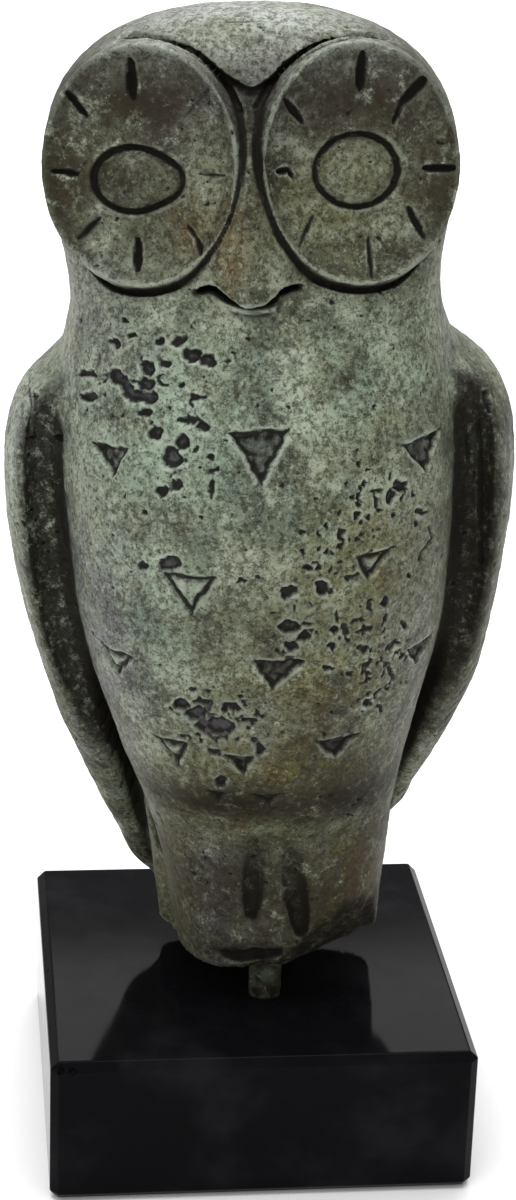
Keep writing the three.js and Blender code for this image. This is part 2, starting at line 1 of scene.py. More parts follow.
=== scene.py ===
"""Looks of a small cast bronze owl, held by a pin above a block of polished black marble.

The owl's own form is written in millimetres in the owl's own frame: Z runs up its axis from the broken feet,
-Y out of its breast and X to the viewer's right. Everything handed to Blender is in metres.
"""

import logging
import math
from dataclasses import dataclass
from enum import Enum
from typing import Any, Callable

import bmesh
import bpy
import numpy as np
from mathutils import Matrix, Vector


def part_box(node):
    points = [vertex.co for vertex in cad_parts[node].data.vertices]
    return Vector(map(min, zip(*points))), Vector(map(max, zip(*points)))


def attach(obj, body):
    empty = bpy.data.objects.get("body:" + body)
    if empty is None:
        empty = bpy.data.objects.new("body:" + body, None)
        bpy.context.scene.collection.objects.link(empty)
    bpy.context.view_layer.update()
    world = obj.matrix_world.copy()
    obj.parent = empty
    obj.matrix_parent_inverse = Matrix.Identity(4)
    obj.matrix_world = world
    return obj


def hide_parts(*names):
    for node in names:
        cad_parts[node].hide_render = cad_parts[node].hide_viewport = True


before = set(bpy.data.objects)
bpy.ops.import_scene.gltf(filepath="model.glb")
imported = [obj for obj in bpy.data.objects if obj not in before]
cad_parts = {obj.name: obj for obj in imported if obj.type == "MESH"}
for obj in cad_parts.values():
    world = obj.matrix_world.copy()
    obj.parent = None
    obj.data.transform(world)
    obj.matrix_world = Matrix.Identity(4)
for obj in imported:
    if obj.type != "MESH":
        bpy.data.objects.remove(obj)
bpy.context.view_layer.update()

MM = 0.001
BODY = "root"
LOG = logging.getLogger("owl")

Array = np.ndarray
Point = tuple[float, float, float]

# How the owl stands: its feet's place on the block, its turn about the upright and its lean to one side
FEET_PLACE: Point = (2.9, -1.5, 28.0)
FIGURE_TURN = -5.8
FIGURE_LEAN = 2.8


class Side(Enum):
    """A side of the owl as the viewer sees it, with the sign of its X."""

    LEFT = -1
    RIGHT = 1


class Cut(Enum):
    """How deep a triangle on the breast is carved."""

    SUNK = "whole"
    OUTLINED = "edges"


def smooth_step(value: Array, low: float, high: float) -> Array:
    """Rises softly from 0 at low to 1 at high."""
    share = np.clip((value - low) / (high - low), 0, 1)
    return share * share * (3 - 2 * share)


def merge(whole: Array, part: Array, radius: float | Array) -> Array:
    """Joins two distance fields, with a fillet.

    Args:
        whole: Distances to what is there.
        part: Distances to what is added.
        radius: Size of the fillet in mm.

    Returns:
        The distances to both together.
    """
    share = np.clip(0.5 + 0.5 * (part - whole) / radius, 0, 1)
    return part + (whole - part) * share - radius * share * (1 - share)


def carve(whole: Array, part: Array, radius: float | Array) -> Array:
    """Takes one distance field out of another, with a rounded edge of that radius in mm."""
    return -merge(-whole, part, radius)


class SmoothTable:
    """Smooth curves through a table of sections, read by the value in its first column."""

    SAMPLES = 600

    def __init__(self, rows: list[tuple[float, ...]]) -> None:
        """Fits the curves.

        Args:
            rows: One section per row, in order of its first value.
        """
        table = np.array(rows, dtype=float)
        stops = table[:, 0]
        self.places = np.linspace(stops[0], stops[-1], self.SAMPLES)
        index = np.clip(np.searchsorted(stops, self.places) - 1, 0, len(stops) - 2)
        span = stops[index + 1] - stops[index]
        share = (self.places - stops[index]) / span
        self.columns = []
        for values in table.T[1:]:
            slopes = np.gradient(values, stops)
            start, end = values[index], values[index + 1]
            bend = (2 * share**3 - 3 * share**2 + 1) * start + (3 * share**2 - 2 * share**3) * end
            lean = (share**3 - 2 * share**2 + share) * slopes[index]
            lean += (share**3 - share**2) * slopes[index + 1]
            self.columns.append(bend + lean * span)

    def at(self, place: Array) -> list[Array]:
        """Every curve's value at each place."""
        return [np.interp(place, self.places, column) for column in self.columns]


class Grain:
    """Seeded gradient noise in three dimensions, about -1 to 1."""

    def __init__(self, seed: int) -> None:
        """Draws the noise's directions from a seed."""
        draw = np.random.default_rng(seed)
        self.order = np.tile(draw.permutation(256), 2)
        arrows = draw.normal(size=(256, 3))
        self.arrows = arrows / np.linalg.norm(arrows, axis=1)[:, None]

    def at(self, points: Array, size: float) -> Array:
        """The noise at each point, with features of about size."""
        spots = points / size
        cells = np.floor(spots).astype(int)
        inside = spots - cells
        ease = inside**3 * (inside * (inside * 6 - 15) + 10)
        total = np.zeros(len(points))
        for corner in np.ndindex(2, 2, 2):
            lattice = (cells + corner) & 255
            pick = self.order[self.order[self.order[lattice[:, 0]] + lattice[:, 1]] + lattice[:, 2]]
            pull = np.einsum("ij,ij->i", self.arrows[pick], inside - corner)
            share = np.where(np.array(corner) == 1, ease, 1 - ease).prod(axis=1)
            total += pull * share
        return total * 1.6

    def layers(self, points: Array, size: float, count: int) -> Array:
        """Noise summed over count layers, each half the size and half the height of the last."""
        total = np.zeros(len(points))
        for layer in range(count):
            total += self.at(points + 31.7 * layer, size / 2**layer) / 2**layer
        return total


@dataclass(frozen=True)
class Layer:
    """One lump or cut of the owl's form, with the box outside which it has no effect."""

    shape: Callable[[Array], Array]
    blend: Callable[[Array, Array, float], Array]
    radius: float
    low: Point
    high: Point


@dataclass(frozen=True)
class Wing:
    """One folded wing: a long blade against the body's side."""

    side: Side
    tip: float
    low_swell: float
    root: float = 94.5
    square: float = 2.2

    def sections(self) -> SmoothTable:
        """Its sections by share of its length: outer face, thickness, front and back."""
        return SmoothTable(
            [
                (0.0, 17.0, 2.4, 9.5, 14.0),
                (0.03, 19.7, 4.0, 8.2, 15.6),
                (0.1, 22.4, 6.0, 5.4, 17.4),
                (0.17, 25.3, 7.4, 2.8, 18.4),
                (0.245, 27.9, 8.2, 0.2, 19.3),
                (0.31, 30.1, 8.8, -2.2, 19.9),
                (0.4, 32.0, 9.2, -4.8, 20.3),
                (0.49, 33.4, 9.6, -6.8, 20.6),
                (0.62, 35.0, 10.0, -8.4, 20.8),
                (0.75, 35.4, 10.0, -9.0, 20.2),
                (0.82, 34.6, 10.0, -8.8, 19.4),
                (0.87, 32.4, 9.6, -8.0, 18.2),
                (0.91, 28.6, 8.6, -6.8, 16.4),
                (0.95, 25.6, 6.6, -4.0, 13.0),
                (1.0, 23.6, 3.0, 1.0, 8.0),
            ]
        )

    def distance(self, points: Array, table: SmoothTable) -> Array:
        """Distance from each point to the wing, less than 0 inside it."""
        x, y, z = points.T
        share = np.clip((z - self.tip) / (self.root - self.tip), 0, 1)
        outer, thickness, front, back = table.at(share)
        outer = outer + self.low_swell * np.exp(-(((z - 32) / 15) ** 2))
        across = np.abs(x * self.side.value - (outer - thickness / 2)) + 1e-3
        along = np.abs(y - (front + back) / 2) + 1e-3
        ring = (across / (thickness / 2)) ** self.square + (along / ((back - front) / 2)) ** self.square
        away = np.hypot(across, along)
        flat = away - away / ring ** (1 / self.square)
        beyond = np.maximum(np.maximum(z - self.root, self.tip - z), 0)
        return np.where(beyond > 0, np.hypot(np.maximum(flat, 0), beyond), flat)


@dataclass(frozen=True)
class Eye:
    """An eye on a disc, in mm from the disc's centre: the ball, its groove and the raised lid around."""

    aside: float
    up: float
    half: float
    tall: float
    peak: float
    groove: float
    corner: float


@dataclass(frozen=True)
class FaceDisc:
    """One dished disc of the face, with its rim and eye."""

    side: Side
    centre: Point
    eye: Eye
    turn: float = 12.0
    tilt: float = 10.5
    half_width: float = 13.2
    half_height: float = 15.6
    crest: float = 0.965
    lip: float = 0.915
    depth: float = 3.2
    lip_depth: float = 0.8
    curve: float = 2.6
    wall_slope: float = 4.0
    wall_depth: float = 2.9
    taper: float = 0.38
    back: float = 9.5

    def matrix(self) -> Array:
        """Columns: the disc's across, outwards-into-the-head and up directions."""
        turn, tilt = math.radians(self.turn * self.side.value), math.radians(-self.tilt)
        about_z = np.array(
            [[math.cos(turn), -math.sin(turn), 0], [math.sin(turn), math.cos(turn), 0], [0, 0, 1]]
        )
        about_x = np.array(
            [[1, 0, 0], [0, math.cos(tilt), -math.sin(tilt)], [0, math.sin(tilt), math.cos(tilt)]]
        )
        return about_z @ about_x

    def local(self, points: Array) -> tuple[Array, Array, Array]:
        """Each point as distance across, up and out of the disc's plane."""
        spots = (points - self.centre) @ self.matrix()
        return spots[:, 0], spots[:, 2], -spots[:, 1]

    def radius(self, across: Array, up: Array) -> Array:
        """Share of the disc's radius at each place, 1 at its edge."""
        return np.hypot(across / self.half_width, up / self.half_height)

    def slab(self, points: Array) -> Array:
        """Distance to the short drum that the dish is cut from."""
        beyond, out = self.wall(points)
        return np.maximum(np.maximum(beyond * 0.93, out), -(out + self.back))

    def wall(self, points: Array) -> tuple[Array, Array]:
        """How far each point is beyond the drum's wall, and how far out of the disc's plane.

        The wall widens a little behind the rim and then narrows towards the skull.
        """
        out = self.local(points)[2]
        widens = -(out + 1.2) / self.wall_slope
        narrows = 0.5 + self.taper * (out + self.wall_depth)
        return self.outside(points) - np.minimum(widens, narrows), out

    def outside(self, points: Array) -> Array:
        """Distance of each point beyond the disc's edge, seen straight at the disc."""
        across, up, _ = self.local(points)
        share = self.radius(across, up)
        return (share - 1) * np.hypot(across, up) / np.maximum(share, 1e-6)

    def floor(self, share: Array) -> Array:
        """Depth of the plain dish below the rim's crest, at a share of the radius."""
        hollow = 1 - np.minimum(share / self.lip, 1) ** self.curve
        bowl = self.lip_depth + (self.depth - self.lip_depth) * hollow
        lip = self.lip_depth * np.clip((self.crest - share) / (self.crest - self.lip), 0, 1)
        return np.where(share < self.lip, bowl, lip)

    def eye_relief(self, across: Array, up: Array) -> Array:
        """Height of the eye's ball, groove and lid above the plain dish."""
        eye = self.eye
        x, y = across - eye.aside, up - eye.up
        inner = -self.side.value * x
        pointed = 1 + eye.corner * smooth_step(inner / eye.half, 0.2, 1.3)
        tall = eye.tall * (1 - 0.22 * eye.corner * smooth_step(inner / eye.half, 0.3, 1.2))
        ring = np.hypot(x / (eye.half * pointed), y / tall)
        beyond = (ring - 1) * (eye.half + eye.tall) / 2
        ball = np.where(ring < 1, eye.peak * (1 - np.minimum(ring, 1) ** 1.7), 0)
        groove = -eye.groove * np.exp(-((beyond - 0.3) / 0.28) ** 2)
        lid = 0.36 * np.exp(-((beyond - 1.05) / 0.6) ** 2)
        mound = 0.9 * np.exp(-(np.maximum(beyond, 0) / 3.4) ** 2)
        return ball + groove + lid + mound

    def dish(self, points: Array) -> Array:
        """Distance into the space that the dish is hollowed from."""
        across, up, out = self.local(points)
        share = self.radius(across, up)
        relief = self.eye_relief(across, up) * smooth_step(-share, -0.9, -0.7)
        surface = -self.floor(share) + relief
        outside = np.maximum(share - self.crest, 0) * self.half_width * 6
        return (surface + outside - out) * 0.8

    def trench(self, points: Array) -> Array:
        """Distance to the thin shadow line where the drum's wall meets the head."""
        beyond, out = self.wall(points)
        return np.maximum(np.abs(beyond - 0.3) - 0.35, -(out + self.back - 1))


@dataclass(frozen=True)
class Mark:
    """A triangle on the breast, point down: middle of its top edge, width, drop, how far the point stands
    aside, and how it is carved."""

    x: float
    height: float
    width: float
    drop: float
    point: float
    cut: Cut
    tilt: float = 0.0

    def inside(self, x: Array, z: Array) -> Array:
        """Distance from each place to the triangle's nearest edge, more than 0 inside."""
        half = self.width / 2
        lift = self.tilt * half
        corners = [
            (self.x - half, self.height - lift),
            (self.x + self.point, self.height - self.drop),
            (self.x + half, self.height + lift),
        ]
        edge = np.full(len(x), 1e9)
        for start, end in zip(corners, corners[1:] + corners[:1]):
            run, rise = end[0] - start[0], end[1] - start[1]
            edge = np.minimum(edge, ((z - start[1]) * run - (x - start[0]) * rise) / math.hypot(run, rise))
        return edge


class OwlForm:
    """The whole cast form as one distance field."""

    EYE_LEVEL = 116.0
    CROWN_TOP = 134.7
    CROWN_SQUARE = 2.3
    CROWN_ASIDE = -0.6
    CROWN_RISE = 2.2
    CROWN_SPREAD = 2.3
    LEG_GROOVES = (
        ((-1.5, -16.7, 21.5), (-2.2, -14.9, 10.0), 1.35),
        ((3.4, -16.7, 20.5), (4.8, -14.5, 7.0), 1.55),
    )
    NOSE_ASIDE = -1.1
    NOSE_HEIGHTS = (100.0, 102.5, 107.0, 112.0, 117.0, 122.0, 128.0)
    NOSE_RIDGE = (-23.8, -23.6, -22.5, -20.8, -18.6, -16.0, -11.6)
    NOSE_FLANK = (0.74, 0.7, 0.62, 0.5, 0.32, 0.15, 0.0)
    BEAK_ASIDE = (-6.7, -4.8, -3.8, -2.3, -1.0, 0.0, 2.3, 3.5, 4.2, 5.8, 7.3)
    BEAK_RISE = (1.4, 2.3, 2.1, 1.1, 0.45, 0.0, 0.1, 0.7, 1.4, 1.8, 1.7)

    def __init__(self) -> None:
        """Sets out the sections, wings, discs and cuts."""
        self.sections = SmoothTable(
            [
                (0.0, 14.6, 14.2, 4.0, 1.2, 2.3),
                (4.0, 14.9, 15.0, 7.0, 1.2, 2.3),
                (10.0, 15.6, 15.4, 11.0, 1.2, 2.3),
                (17.0, 16.8, 15.8, 14.0, 1.0, 2.3),
                (22.0, 17.8, 16.4, 15.6, 0.7, 2.3),
                (26.0, 18.7, 18.6, 16.6, 0.5, 2.3),
                (30.0, 19.8, 21.2, 17.4, 0.2, 2.3),
                (38.0, 22.0, 23.6, 18.8, 0.0, 2.3),
                (50.0, 25.2, 26.0, 20.4, 0.0, 2.3),
                (62.0, 26.7, 27.2, 21.2, 0.0, 2.3),
                (74.0, 27.3, 27.2, 21.0, 0.0, 2.3),
                (84.0, 26.9, 25.4, 19.8, 0.0, 2.3),
                (91.0, 25.9, 23.2, 18.8, 0.0, 2.4),
                (97.0, 24.8, 20.9, 18.2, 0.0, 2.5),
                (103.0, 25.2, 18.4, 18.6, -0.1, 2.7),
                (109.0, 26.2, 16.4, 19.6, -0.1, 2.9),
                (116.0, 27.0, 15.4, 20.2, -0.2, 3.0),
            ]
        )
        self.tail = SmoothTable(
            [
                (0.6, 16.0, -1.0, 16.8),
                (14.0, 17.2, -1.0, 18.4),
                (30.0, 18.5, 0.0, 20.0),
                (40.0, 18.0, 0.0, 20.6),
                (50.0, 16.6, 0.0, 20.2),
                (60.0, 13.5, 0.0, 18.6),
                (70.0, 10.0, 0.0, 15.0),
            ]
        )
        self.cove = SmoothTable(
            [
                (14.0, 15.2, -0.6, 0.4),
                (20.0, 17.6, -2.0, 1.4),
                (28.0, 20.8, -3.4, 1.9),
                (38.0, 24.5, -5.4, 2.2),
                (48.0, 27.4, -6.9, 2.3),
                (60.0, 28.8, -8.2, 2.3),
                (72.0, 29.2, -8.8, 2.2),
                (82.0, 29.4, -8.6, 1.8),
                (90.0, 28.6, -7.6, 0.5),
            ]
        )
        self.wings = [Wing(Side.LEFT, 3.5, -0.9), Wing(Side.RIGHT, 12.0, 0.5)]
        self.discs = [
            FaceDisc(Side.LEFT, (-14.5, -16.1, 117.4), Eye(-1.2, -1.7, 4.8, 3.8, 3.0, 0.55, 0.28)),
            FaceDisc(Side.RIGHT, (13.9, -16.1, 117.2), Eye(-0.3, -0.8, 5.0, 4.3, 2.7, 0.42, 0.05)),
        ]
        self.layers = self.all_layers()

    def body(self, points: Array) -> Array:
        """Distance to head, breast and legs."""
        x, y, z = points.T
        half, front, back, aside, square = self.sections.at(np.clip(z, 0, self.EYE_LEVEL))
        climb = np.maximum(z - self.EYE_LEVEL, 0) / (self.CROWN_TOP - self.EYE_LEVEL)
        share = np.minimum(climb, 1)
        square = square + (self.CROWN_SQUARE - square) * share
        aside = aside + (self.CROWN_ASIDE - aside) * share
        reach = np.where(y < 0, front * (1 + 0.1 * share**2), back)
        across, along = np.abs(x - aside) + 1e-3, np.abs(y) + 1e-3
        ring = ((across / half) ** square + (along / reach) ** square) ** (1 / square)
        ring = (ring**self.CROWN_SPREAD + climb**self.CROWN_RISE) ** (1 / self.CROWN_SPREAD)
        away = np.sqrt(across**2 + along**2 + np.maximum(z - self.EYE_LEVEL, 0) ** 2)
        return np.maximum(away - away / ring, -z)

    def tail_blade(self, points: Array) -> Array:
        """Distance to the tail between the wings' tips."""
        x, y, z = points.T
        half, front, back = self.tail.at(z)
        across = np.abs(x) + 1e-3
        along = np.abs(y - (front + back) / 2) + 1e-3
        ring = ((across / half) ** 6 + (along / ((back - front) / 2)) ** 6) ** (1 / 6)
        away = np.hypot(across, along)
        return np.maximum(away - away / ring, np.maximum(0.6 - z, z - 70))

    def cove_groove(self, points: Array) -> Array:
        """Distance to the round groove between the breast and each wing."""
        x, y, z = points.T
        aside, front, radius = self.cove.at(z)
        return np.maximum(np.hypot(np.abs(x) - aside, y - front) - radius, np.maximum(14 - z, z - 90))

    def crevice(self, points: Array) -> Array:
        """Distance to the dark hollow between the discs, under the crown's front edge."""
        x, y, z = points.T
        floor = np.interp(z, [116.0, 122.0, 128.0], [-18.5, -15.0, -11.2])
        point = 126.2 + 0.6 * np.sqrt(x**2 + 0.4)
        across = np.maximum(np.abs(x) - 9, (y - floor) * 0.85)
        return np.maximum(across, np.maximum(116.0 - z, (z - point) * 0.86))

    def nose(self, points: Array) -> Array:
        """Distance to the ridge that runs down between the discs and flares into the beak."""
        x, y, z = points.T
        x = x - self.NOSE_ASIDE
        ridge = np.interp(z, self.NOSE_HEIGHTS, self.NOSE_RIDGE)
        flank = np.interp(z, self.NOSE_HEIGHTS, self.NOSE_FLANK)
        edge = np.minimum(*(disc.outside(points) for disc in self.discs))
        seam = 0.6 * np.exp(-((edge / 0.55) ** 2))
        surface = (ridge + flank * (np.sqrt(x**2 + 0.12) - 0.35) + seam - y) * 0.8
        under = 100.6 + np.interp(x, self.BEAK_ASIDE, self.BEAK_RISE)
        return np.maximum(np.maximum(surface, (under - z) * 0.8), np.maximum(z - 128, -edge))

    def nostrils(self, points: Array) -> Array:
        """Distance to the two dark hollows under the beak's lower edge."""
        x, y, z = points.T
        x = x - self.NOSE_ASIDE
        below = z - 100.6 - np.interp(x, self.BEAK_ASIDE, self.BEAK_RISE)
        left = np.hypot((x + 4.0) / 2.4, (below + 0.5) / 0.7)
        right = np.hypot((x - 4.7) / 2.1, (below + 0.3) / 0.55)
        return np.maximum((np.minimum(left, right) - 1) * 0.7, y + 17.0)

    def lip(self, points: Array) -> Array:
        """Distance to the thin lower beak, a fine ridge under the hollows."""
        x, y, z = points.T
        height = 99.6 + 0.04 * x**2
        front = -20.3 + 0.05 * x**2
        line = np.hypot(z - height, y - front) - 0.4
        return np.maximum(line, np.abs(x + 1.8) - 4.2)

    def leg_grooves(self, points: Array) -> Array:
        """Distance to the two soft upright grooves that part the legs from the oval between them."""
        nearest = np.full(len(points), 1e9)
        for start, end, radius in self.LEG_GROOVES:
            run = np.subtract(end, start)
            along = np.clip((points - start) @ run / (run @ run), 0, 1)
            gap = np.linalg.norm(points - start - along[:, None] * run, axis=1)
            nearest = np.minimum(nearest, gap - radius * (0.55 + 1.8 * along * (1 - along)))
        return nearest

    def foot_hollow(self, points: Array) -> Array:
        """Distance to the ragged hollow where the casting broke under the left foot."""
        spots = points + 0.5 * np.stack([self.rock.at(points + 9 * n, 2.2) for n in range(3)], axis=1)
        x, y, z = spots.T
        ring = ((x + 4.4) / 7.4) ** 2 + ((y + 15.2) / 2.6) ** 2 + ((z - 3.0 - 0.1 * x) / 1.3) ** 2
        return (np.sqrt(ring) - 1) * 1.3

    def broken(self, points: Array) -> Array:
        """Distance to the faces left where the casting broke away under the feet."""
        faces = [
            ((7.0, -12.2, 4.6), (0.55, -0.62, -0.56)),
            ((-9.0, -13.4, 1.4), (-0.3, -0.72, -0.63)),
            ((1.0, -14.4, 1.8), (0.05, -0.62, -0.78)),
        ]
        rough = 0.5 * self.rock.at(points, 3.0) + 0.25 * self.rock.at(points, 1.3)
        nearest = np.full(len(points), 1e9)
        for place, facing in faces:
            outwards = np.array(facing) / np.linalg.norm(facing)
            nearest = np.minimum(nearest, -((points - place) @ outwards))
        return nearest + rough

    def all_layers(self) -> list[Layer]:
        """Every lump and cut, in the order in which they are worked."""
        self.rock = Grain(11)
        layers = []
        for wing in self.wings:
            table = wing.sections()
            reach = sorted((wing.side.value * 12.0, wing.side.value * 44.0))
            layers.append(
                Layer(
                    lambda points, wing=wing, table=table: wing.distance(points, table),
                    merge,
                    2.6,
                    (reach[0], -18, -4),
                    (reach[1], 28, 106),
                )
            )
        layers.append(Layer(self.tail_blade, merge, 2.0, (-20, -8, -4), (20, 30, 74)))
        layers.append(Layer(self.cove_groove, carve, 1.4, (-36, -20, 8), (36, 6, 96)))
        layers.append(Layer(self.crevice, carve, 0.5, (-11, -26, 117), (11, -8, 132)))
        for disc in self.discs:
            layers.append(Layer(disc.slab, merge, 0.4, *self.face_box(disc)))
        for disc in self.discs:
            layers.append(Layer(self.seam_of(disc), carve, 0.4, *self.face_box(disc)))
        layers.append(Layer(self.nose, merge, 0.4, (-12, -28, 97), (12, -12, 127)))
        for disc in self.discs:
            layers.append(Layer(disc.dish, carve, 0.2, *self.face_box(disc)))
        layers.append(Layer(self.lip, merge, 0.7, (-9, -27, 97), (9, -17, 105)))
        layers.append(Layer(self.nostrils, carve, 0.35, (-9, -28, 99), (9, -15, 107)))
        layers.append(Layer(self.leg_grooves, carve, 0.8, (-9, -26, 1), (11, -9, 31)))
        layers.append(Layer(self.foot_hollow, carve, 0.7, (-14, -22, -1), (5, -8, 8)))
        layers.append(Layer(self.broken, carve, 0.5, (-24, -24, -4), (26, 12, 16)))
        return layers

    @staticmethod
    def face_box(disc: FaceDisc) -> tuple[Point, Point]:
        """The box around a disc outside which it changes nothing."""
        near, far = sorted((disc.side.value * -4.5, disc.side.value * 33.0))
        return (near, -30, 95), (far, 4, 140)

    def seam_of(self, disc: FaceDisc) -> Callable[[Array], Array]:
        """The shape of the shadow line where a disc's wall meets the head, at most 0.9 mm deep."""
        return lambda points: np.maximum(disc.trench(points), -(self.body(points) + 0.9))

    def distance(self, points: Array) -> Array:
        """Distance from each point to the owl's surface, less than 0 inside."""
        result = self.body(points)
        for layer in self.layers:
            near = np.all((points > layer.low) & (points < layer.high), axis=1)
            spots = points[near]
            if len(spots):
                result[near] = layer.blend(result[near], layer.shape(spots), layer.radius)
        return result

    def slope(self, points: Array, values: Array, step: float = 0.03) -> Array:
        """How the distance changes along each axis, at points with known values."""
        shifts = np.eye(3) * step
        return np.stack([(self.distance(points + shift) - values) / step for shift in shifts], axis=1)

    def settle(self, points: Array, rounds: int) -> tuple[Array, Array]:
        """Moves points onto the surface.

        Args:
            points: Points near the surface.
            rounds: How many times each is moved.

        Returns:
            The moved points and the surface's outward directions there.
        """
        for _ in range(rounds):
            values = self.distance(points)
            slope = self.slope(points, values)
            steep = np.maximum((slope**2).sum(axis=1), 0.2)
            move = (values / steep)[:, None] * slope
            length = np.maximum(np.linalg.norm(move, axis=1), 1e-9)
            points = points - move * np.minimum(1, 0.5 / length)[:, None]
        slope = self.slope(points, self.distance(points))
        return points, slope / np.maximum(np.linalg.norm(slope, axis=1), 1e-9)[:, None]


class Skin:
    """A closed skin of four-sided faces around a distance field."""

    FILL_ROUNDS = 20
    FILL_DEPTH = 0.1

    def __init__(self, form: OwlForm, low: Point, high: Point, step: float) -> None:
        """Wraps the form.

        Args:
            form: What is wrapped.
            low: Lowest corner of the space that is searched, in mm.
            high: Highest corner.
            step: Size of a first face in mm.
        """
        self.form = form
        axes = [np.arange(a, b + step, step) for a, b in zip(low, high)]
        grid = np.stack(np.meshgrid(*axes, indexing="ij"), axis=-1)
        field = form.distance(grid.reshape(-1, 3)).reshape(grid.shape[:3])
        for _ in range(self.FILL_ROUNDS):
            if not self.fill(field, self.FILL_DEPTH * step):
                break
        self.points, self.faces = self.wrap(field, np.array(low, float), step)

    @staticmethod
    def fill(field: Array, depth: float) -> int:
        """Fills the corners where two parts of the form would touch only along an edge.

        Four faces would meet in such an edge. The points settle on the true form afterwards.

        Args:
            field: Distances on the grid, which are changed in place.
            depth: How far inside the form a filled corner then counts.

        Returns:
            How many corners were filled.
        """
        filled = 0
        for axis in range(3):
            level = np.moveaxis(field, axis, 0)
            corners = [level[:, :-1, :-1], level[:, 1:, :-1], level[:, 1:, 1:], level[:, :-1, 1:]]
            for first in (0, 1):
                solid, empty = corners[first::2], corners[1 - first :: 2]
                crossed = (solid[0] < 0) & (solid[1] < 0) & (empty[0] >= 0) & (empty[1] >= 0)
                nearer = empty[0] <= empty[1]
                filled += int(crossed.sum())
                empty[0][crossed & nearer] = -depth
                empty[1][crossed & ~nearer] = -depth
        return filled

    @staticmethod
    def wrap(field: Array, origin: Array, step: float) -> tuple[Array, Array]:
        """Puts one point in every cell that the surface crosses and joins them.

        Args:
            field: Distances on the grid.
            origin: The grid's lowest corner.
            step: The grid's step.

        Returns:
            The points, and the faces as rows of four point numbers.
        """
        inside = field < 0
        cells = tuple(n - 1 for n in field.shape)
        total = np.zeros(cells + (3,))
        count = np.zeros(cells)
        for axis in range(3):
            others = [n for n in range(3) if n != axis]
            first = [slice(None)] * 3
            second = [slice(None)] * 3
            first[axis], second[axis] = slice(0, -1), slice(1, None)
            a, b = field[tuple(first)], field[tuple(second)]
            crossed = inside[tuple(first)] != inside[tuple(second)]
            where = np.divide(a, a - b, out=np.zeros_like(a), where=crossed)
            for shift in np.ndindex(2, 2):
                window = [slice(None)] * 3
                for other, step_aside in zip(others, shift):
                    window[other] = slice(step_aside, step_aside + cells[other])
                hit = crossed[tuple(window)]
                count += hit
                total[..., axis] += where[tuple(window)] * hit
                for other, step_aside in zip(others, shift):
                    total[..., other] += step_aside * hit
        active = count > 0
        number = np.full(cells, -1)
        number[active] = np.arange(active.sum())
        corner = np.argwhere(active)
        points = origin + step * (corner + total[active] / count[active][:, None])
        faces = []
        for axis in range(3):
            others = [n for n in range(3) if n != axis]
            first = [slice(1, -1)] * 3
            second = [slice(1, -1)] * 3
            first[axis], second[axis] = slice(0, -1), slice(1, None)
            a, b = inside[tuple(first)], inside[tuple(second)]
            spots = np.argwhere(a != b)
            spots[:, others] += 1
            leaving = a[a != b]
            around = []
            for shift in ((0, 0), (1, 0), (1, 1), (0, 1)):
                spot = spots.copy()
                spot[:, others[0]] -= shift[0]
                spot[:, others[1]] -= shift[1]
                around.append(number[tuple(spot.T)])
            quads = np.stack(around, axis=1)
            turned = leaving if axis != 1 else ~leaving
            quads[~turned] = quads[~turned][:, ::-1]
            faces.append(quads)
        return points, np.concatenate(faces)

    def edges(self) -> tuple[Array, Array]:
        """The skin's edges, and which edge each side of each face is."""
        sides = np.stack([self.faces, np.roll(self.faces, -1, axis=1)], axis=2).reshape(-1, 2)
        sides.sort(axis=1)
        keys = sides[:, 0].astype(np.int64) * len(self.points) + sides[:, 1]
        _, first, which = np.unique(keys, return_index=True, return_inverse=True)
        return sides[first], which.reshape(self.faces.shape)

    def split(self) -> None:
        """Cuts every face into four."""
        edges, which = self.edges()
        start = len(self.points)
        middles = self.points[edges].mean(axis=1)
        centres = self.points[self.faces].mean(axis=1)
        centre = start + len(middles) + np.arange(len(self.faces))
        middle = start + which
        self.points = np.concatenate([self.points, middles, centres])
        quads = [
            np.stack([self.faces[:, n], middle[:, n], centre, middle[:, n - 1]], axis=1) for n in range(4)
        ]
        self.faces = np.concatenate(quads)

    def neighbours(self) -> Callable[[Array], Array]:
        """A function that averages values over each point's neighbours."""
        edges, _ = self.edges()
        count = np.bincount(edges.ravel(), minlength=len(self.points)).astype(float)

        def average(values: Array) -> Array:
            """Each point's mean over its neighbours."""
            columns = values.reshape(len(values), -1)
            total = np.stack(
                [
                    np.bincount(edges[:, 0], column[edges[:, 1]], len(count))
                    + np.bincount(edges[:, 1], column[edges[:, 0]], len(count))
                    for column in columns.T
                ],
                axis=1,
            )
            return (total / count[:, None]).reshape(values.shape)

        return average

    def relax(self, rounds: int) -> Array:
        """Evens out the faces and puts the points back on the surface.

        Args:
            rounds: How many times.

        Returns:
            The surface's outward directions at the points.
        """
        average = self.neighbours()
        for _ in range(rounds):
            self.points = self.points + 0.6 * (average(self.points) - self.points)
            self.points, normals = self.form.settle(self.points, 1)
        self.points, normals = self.form.settle(self.points, 2)
        return normals


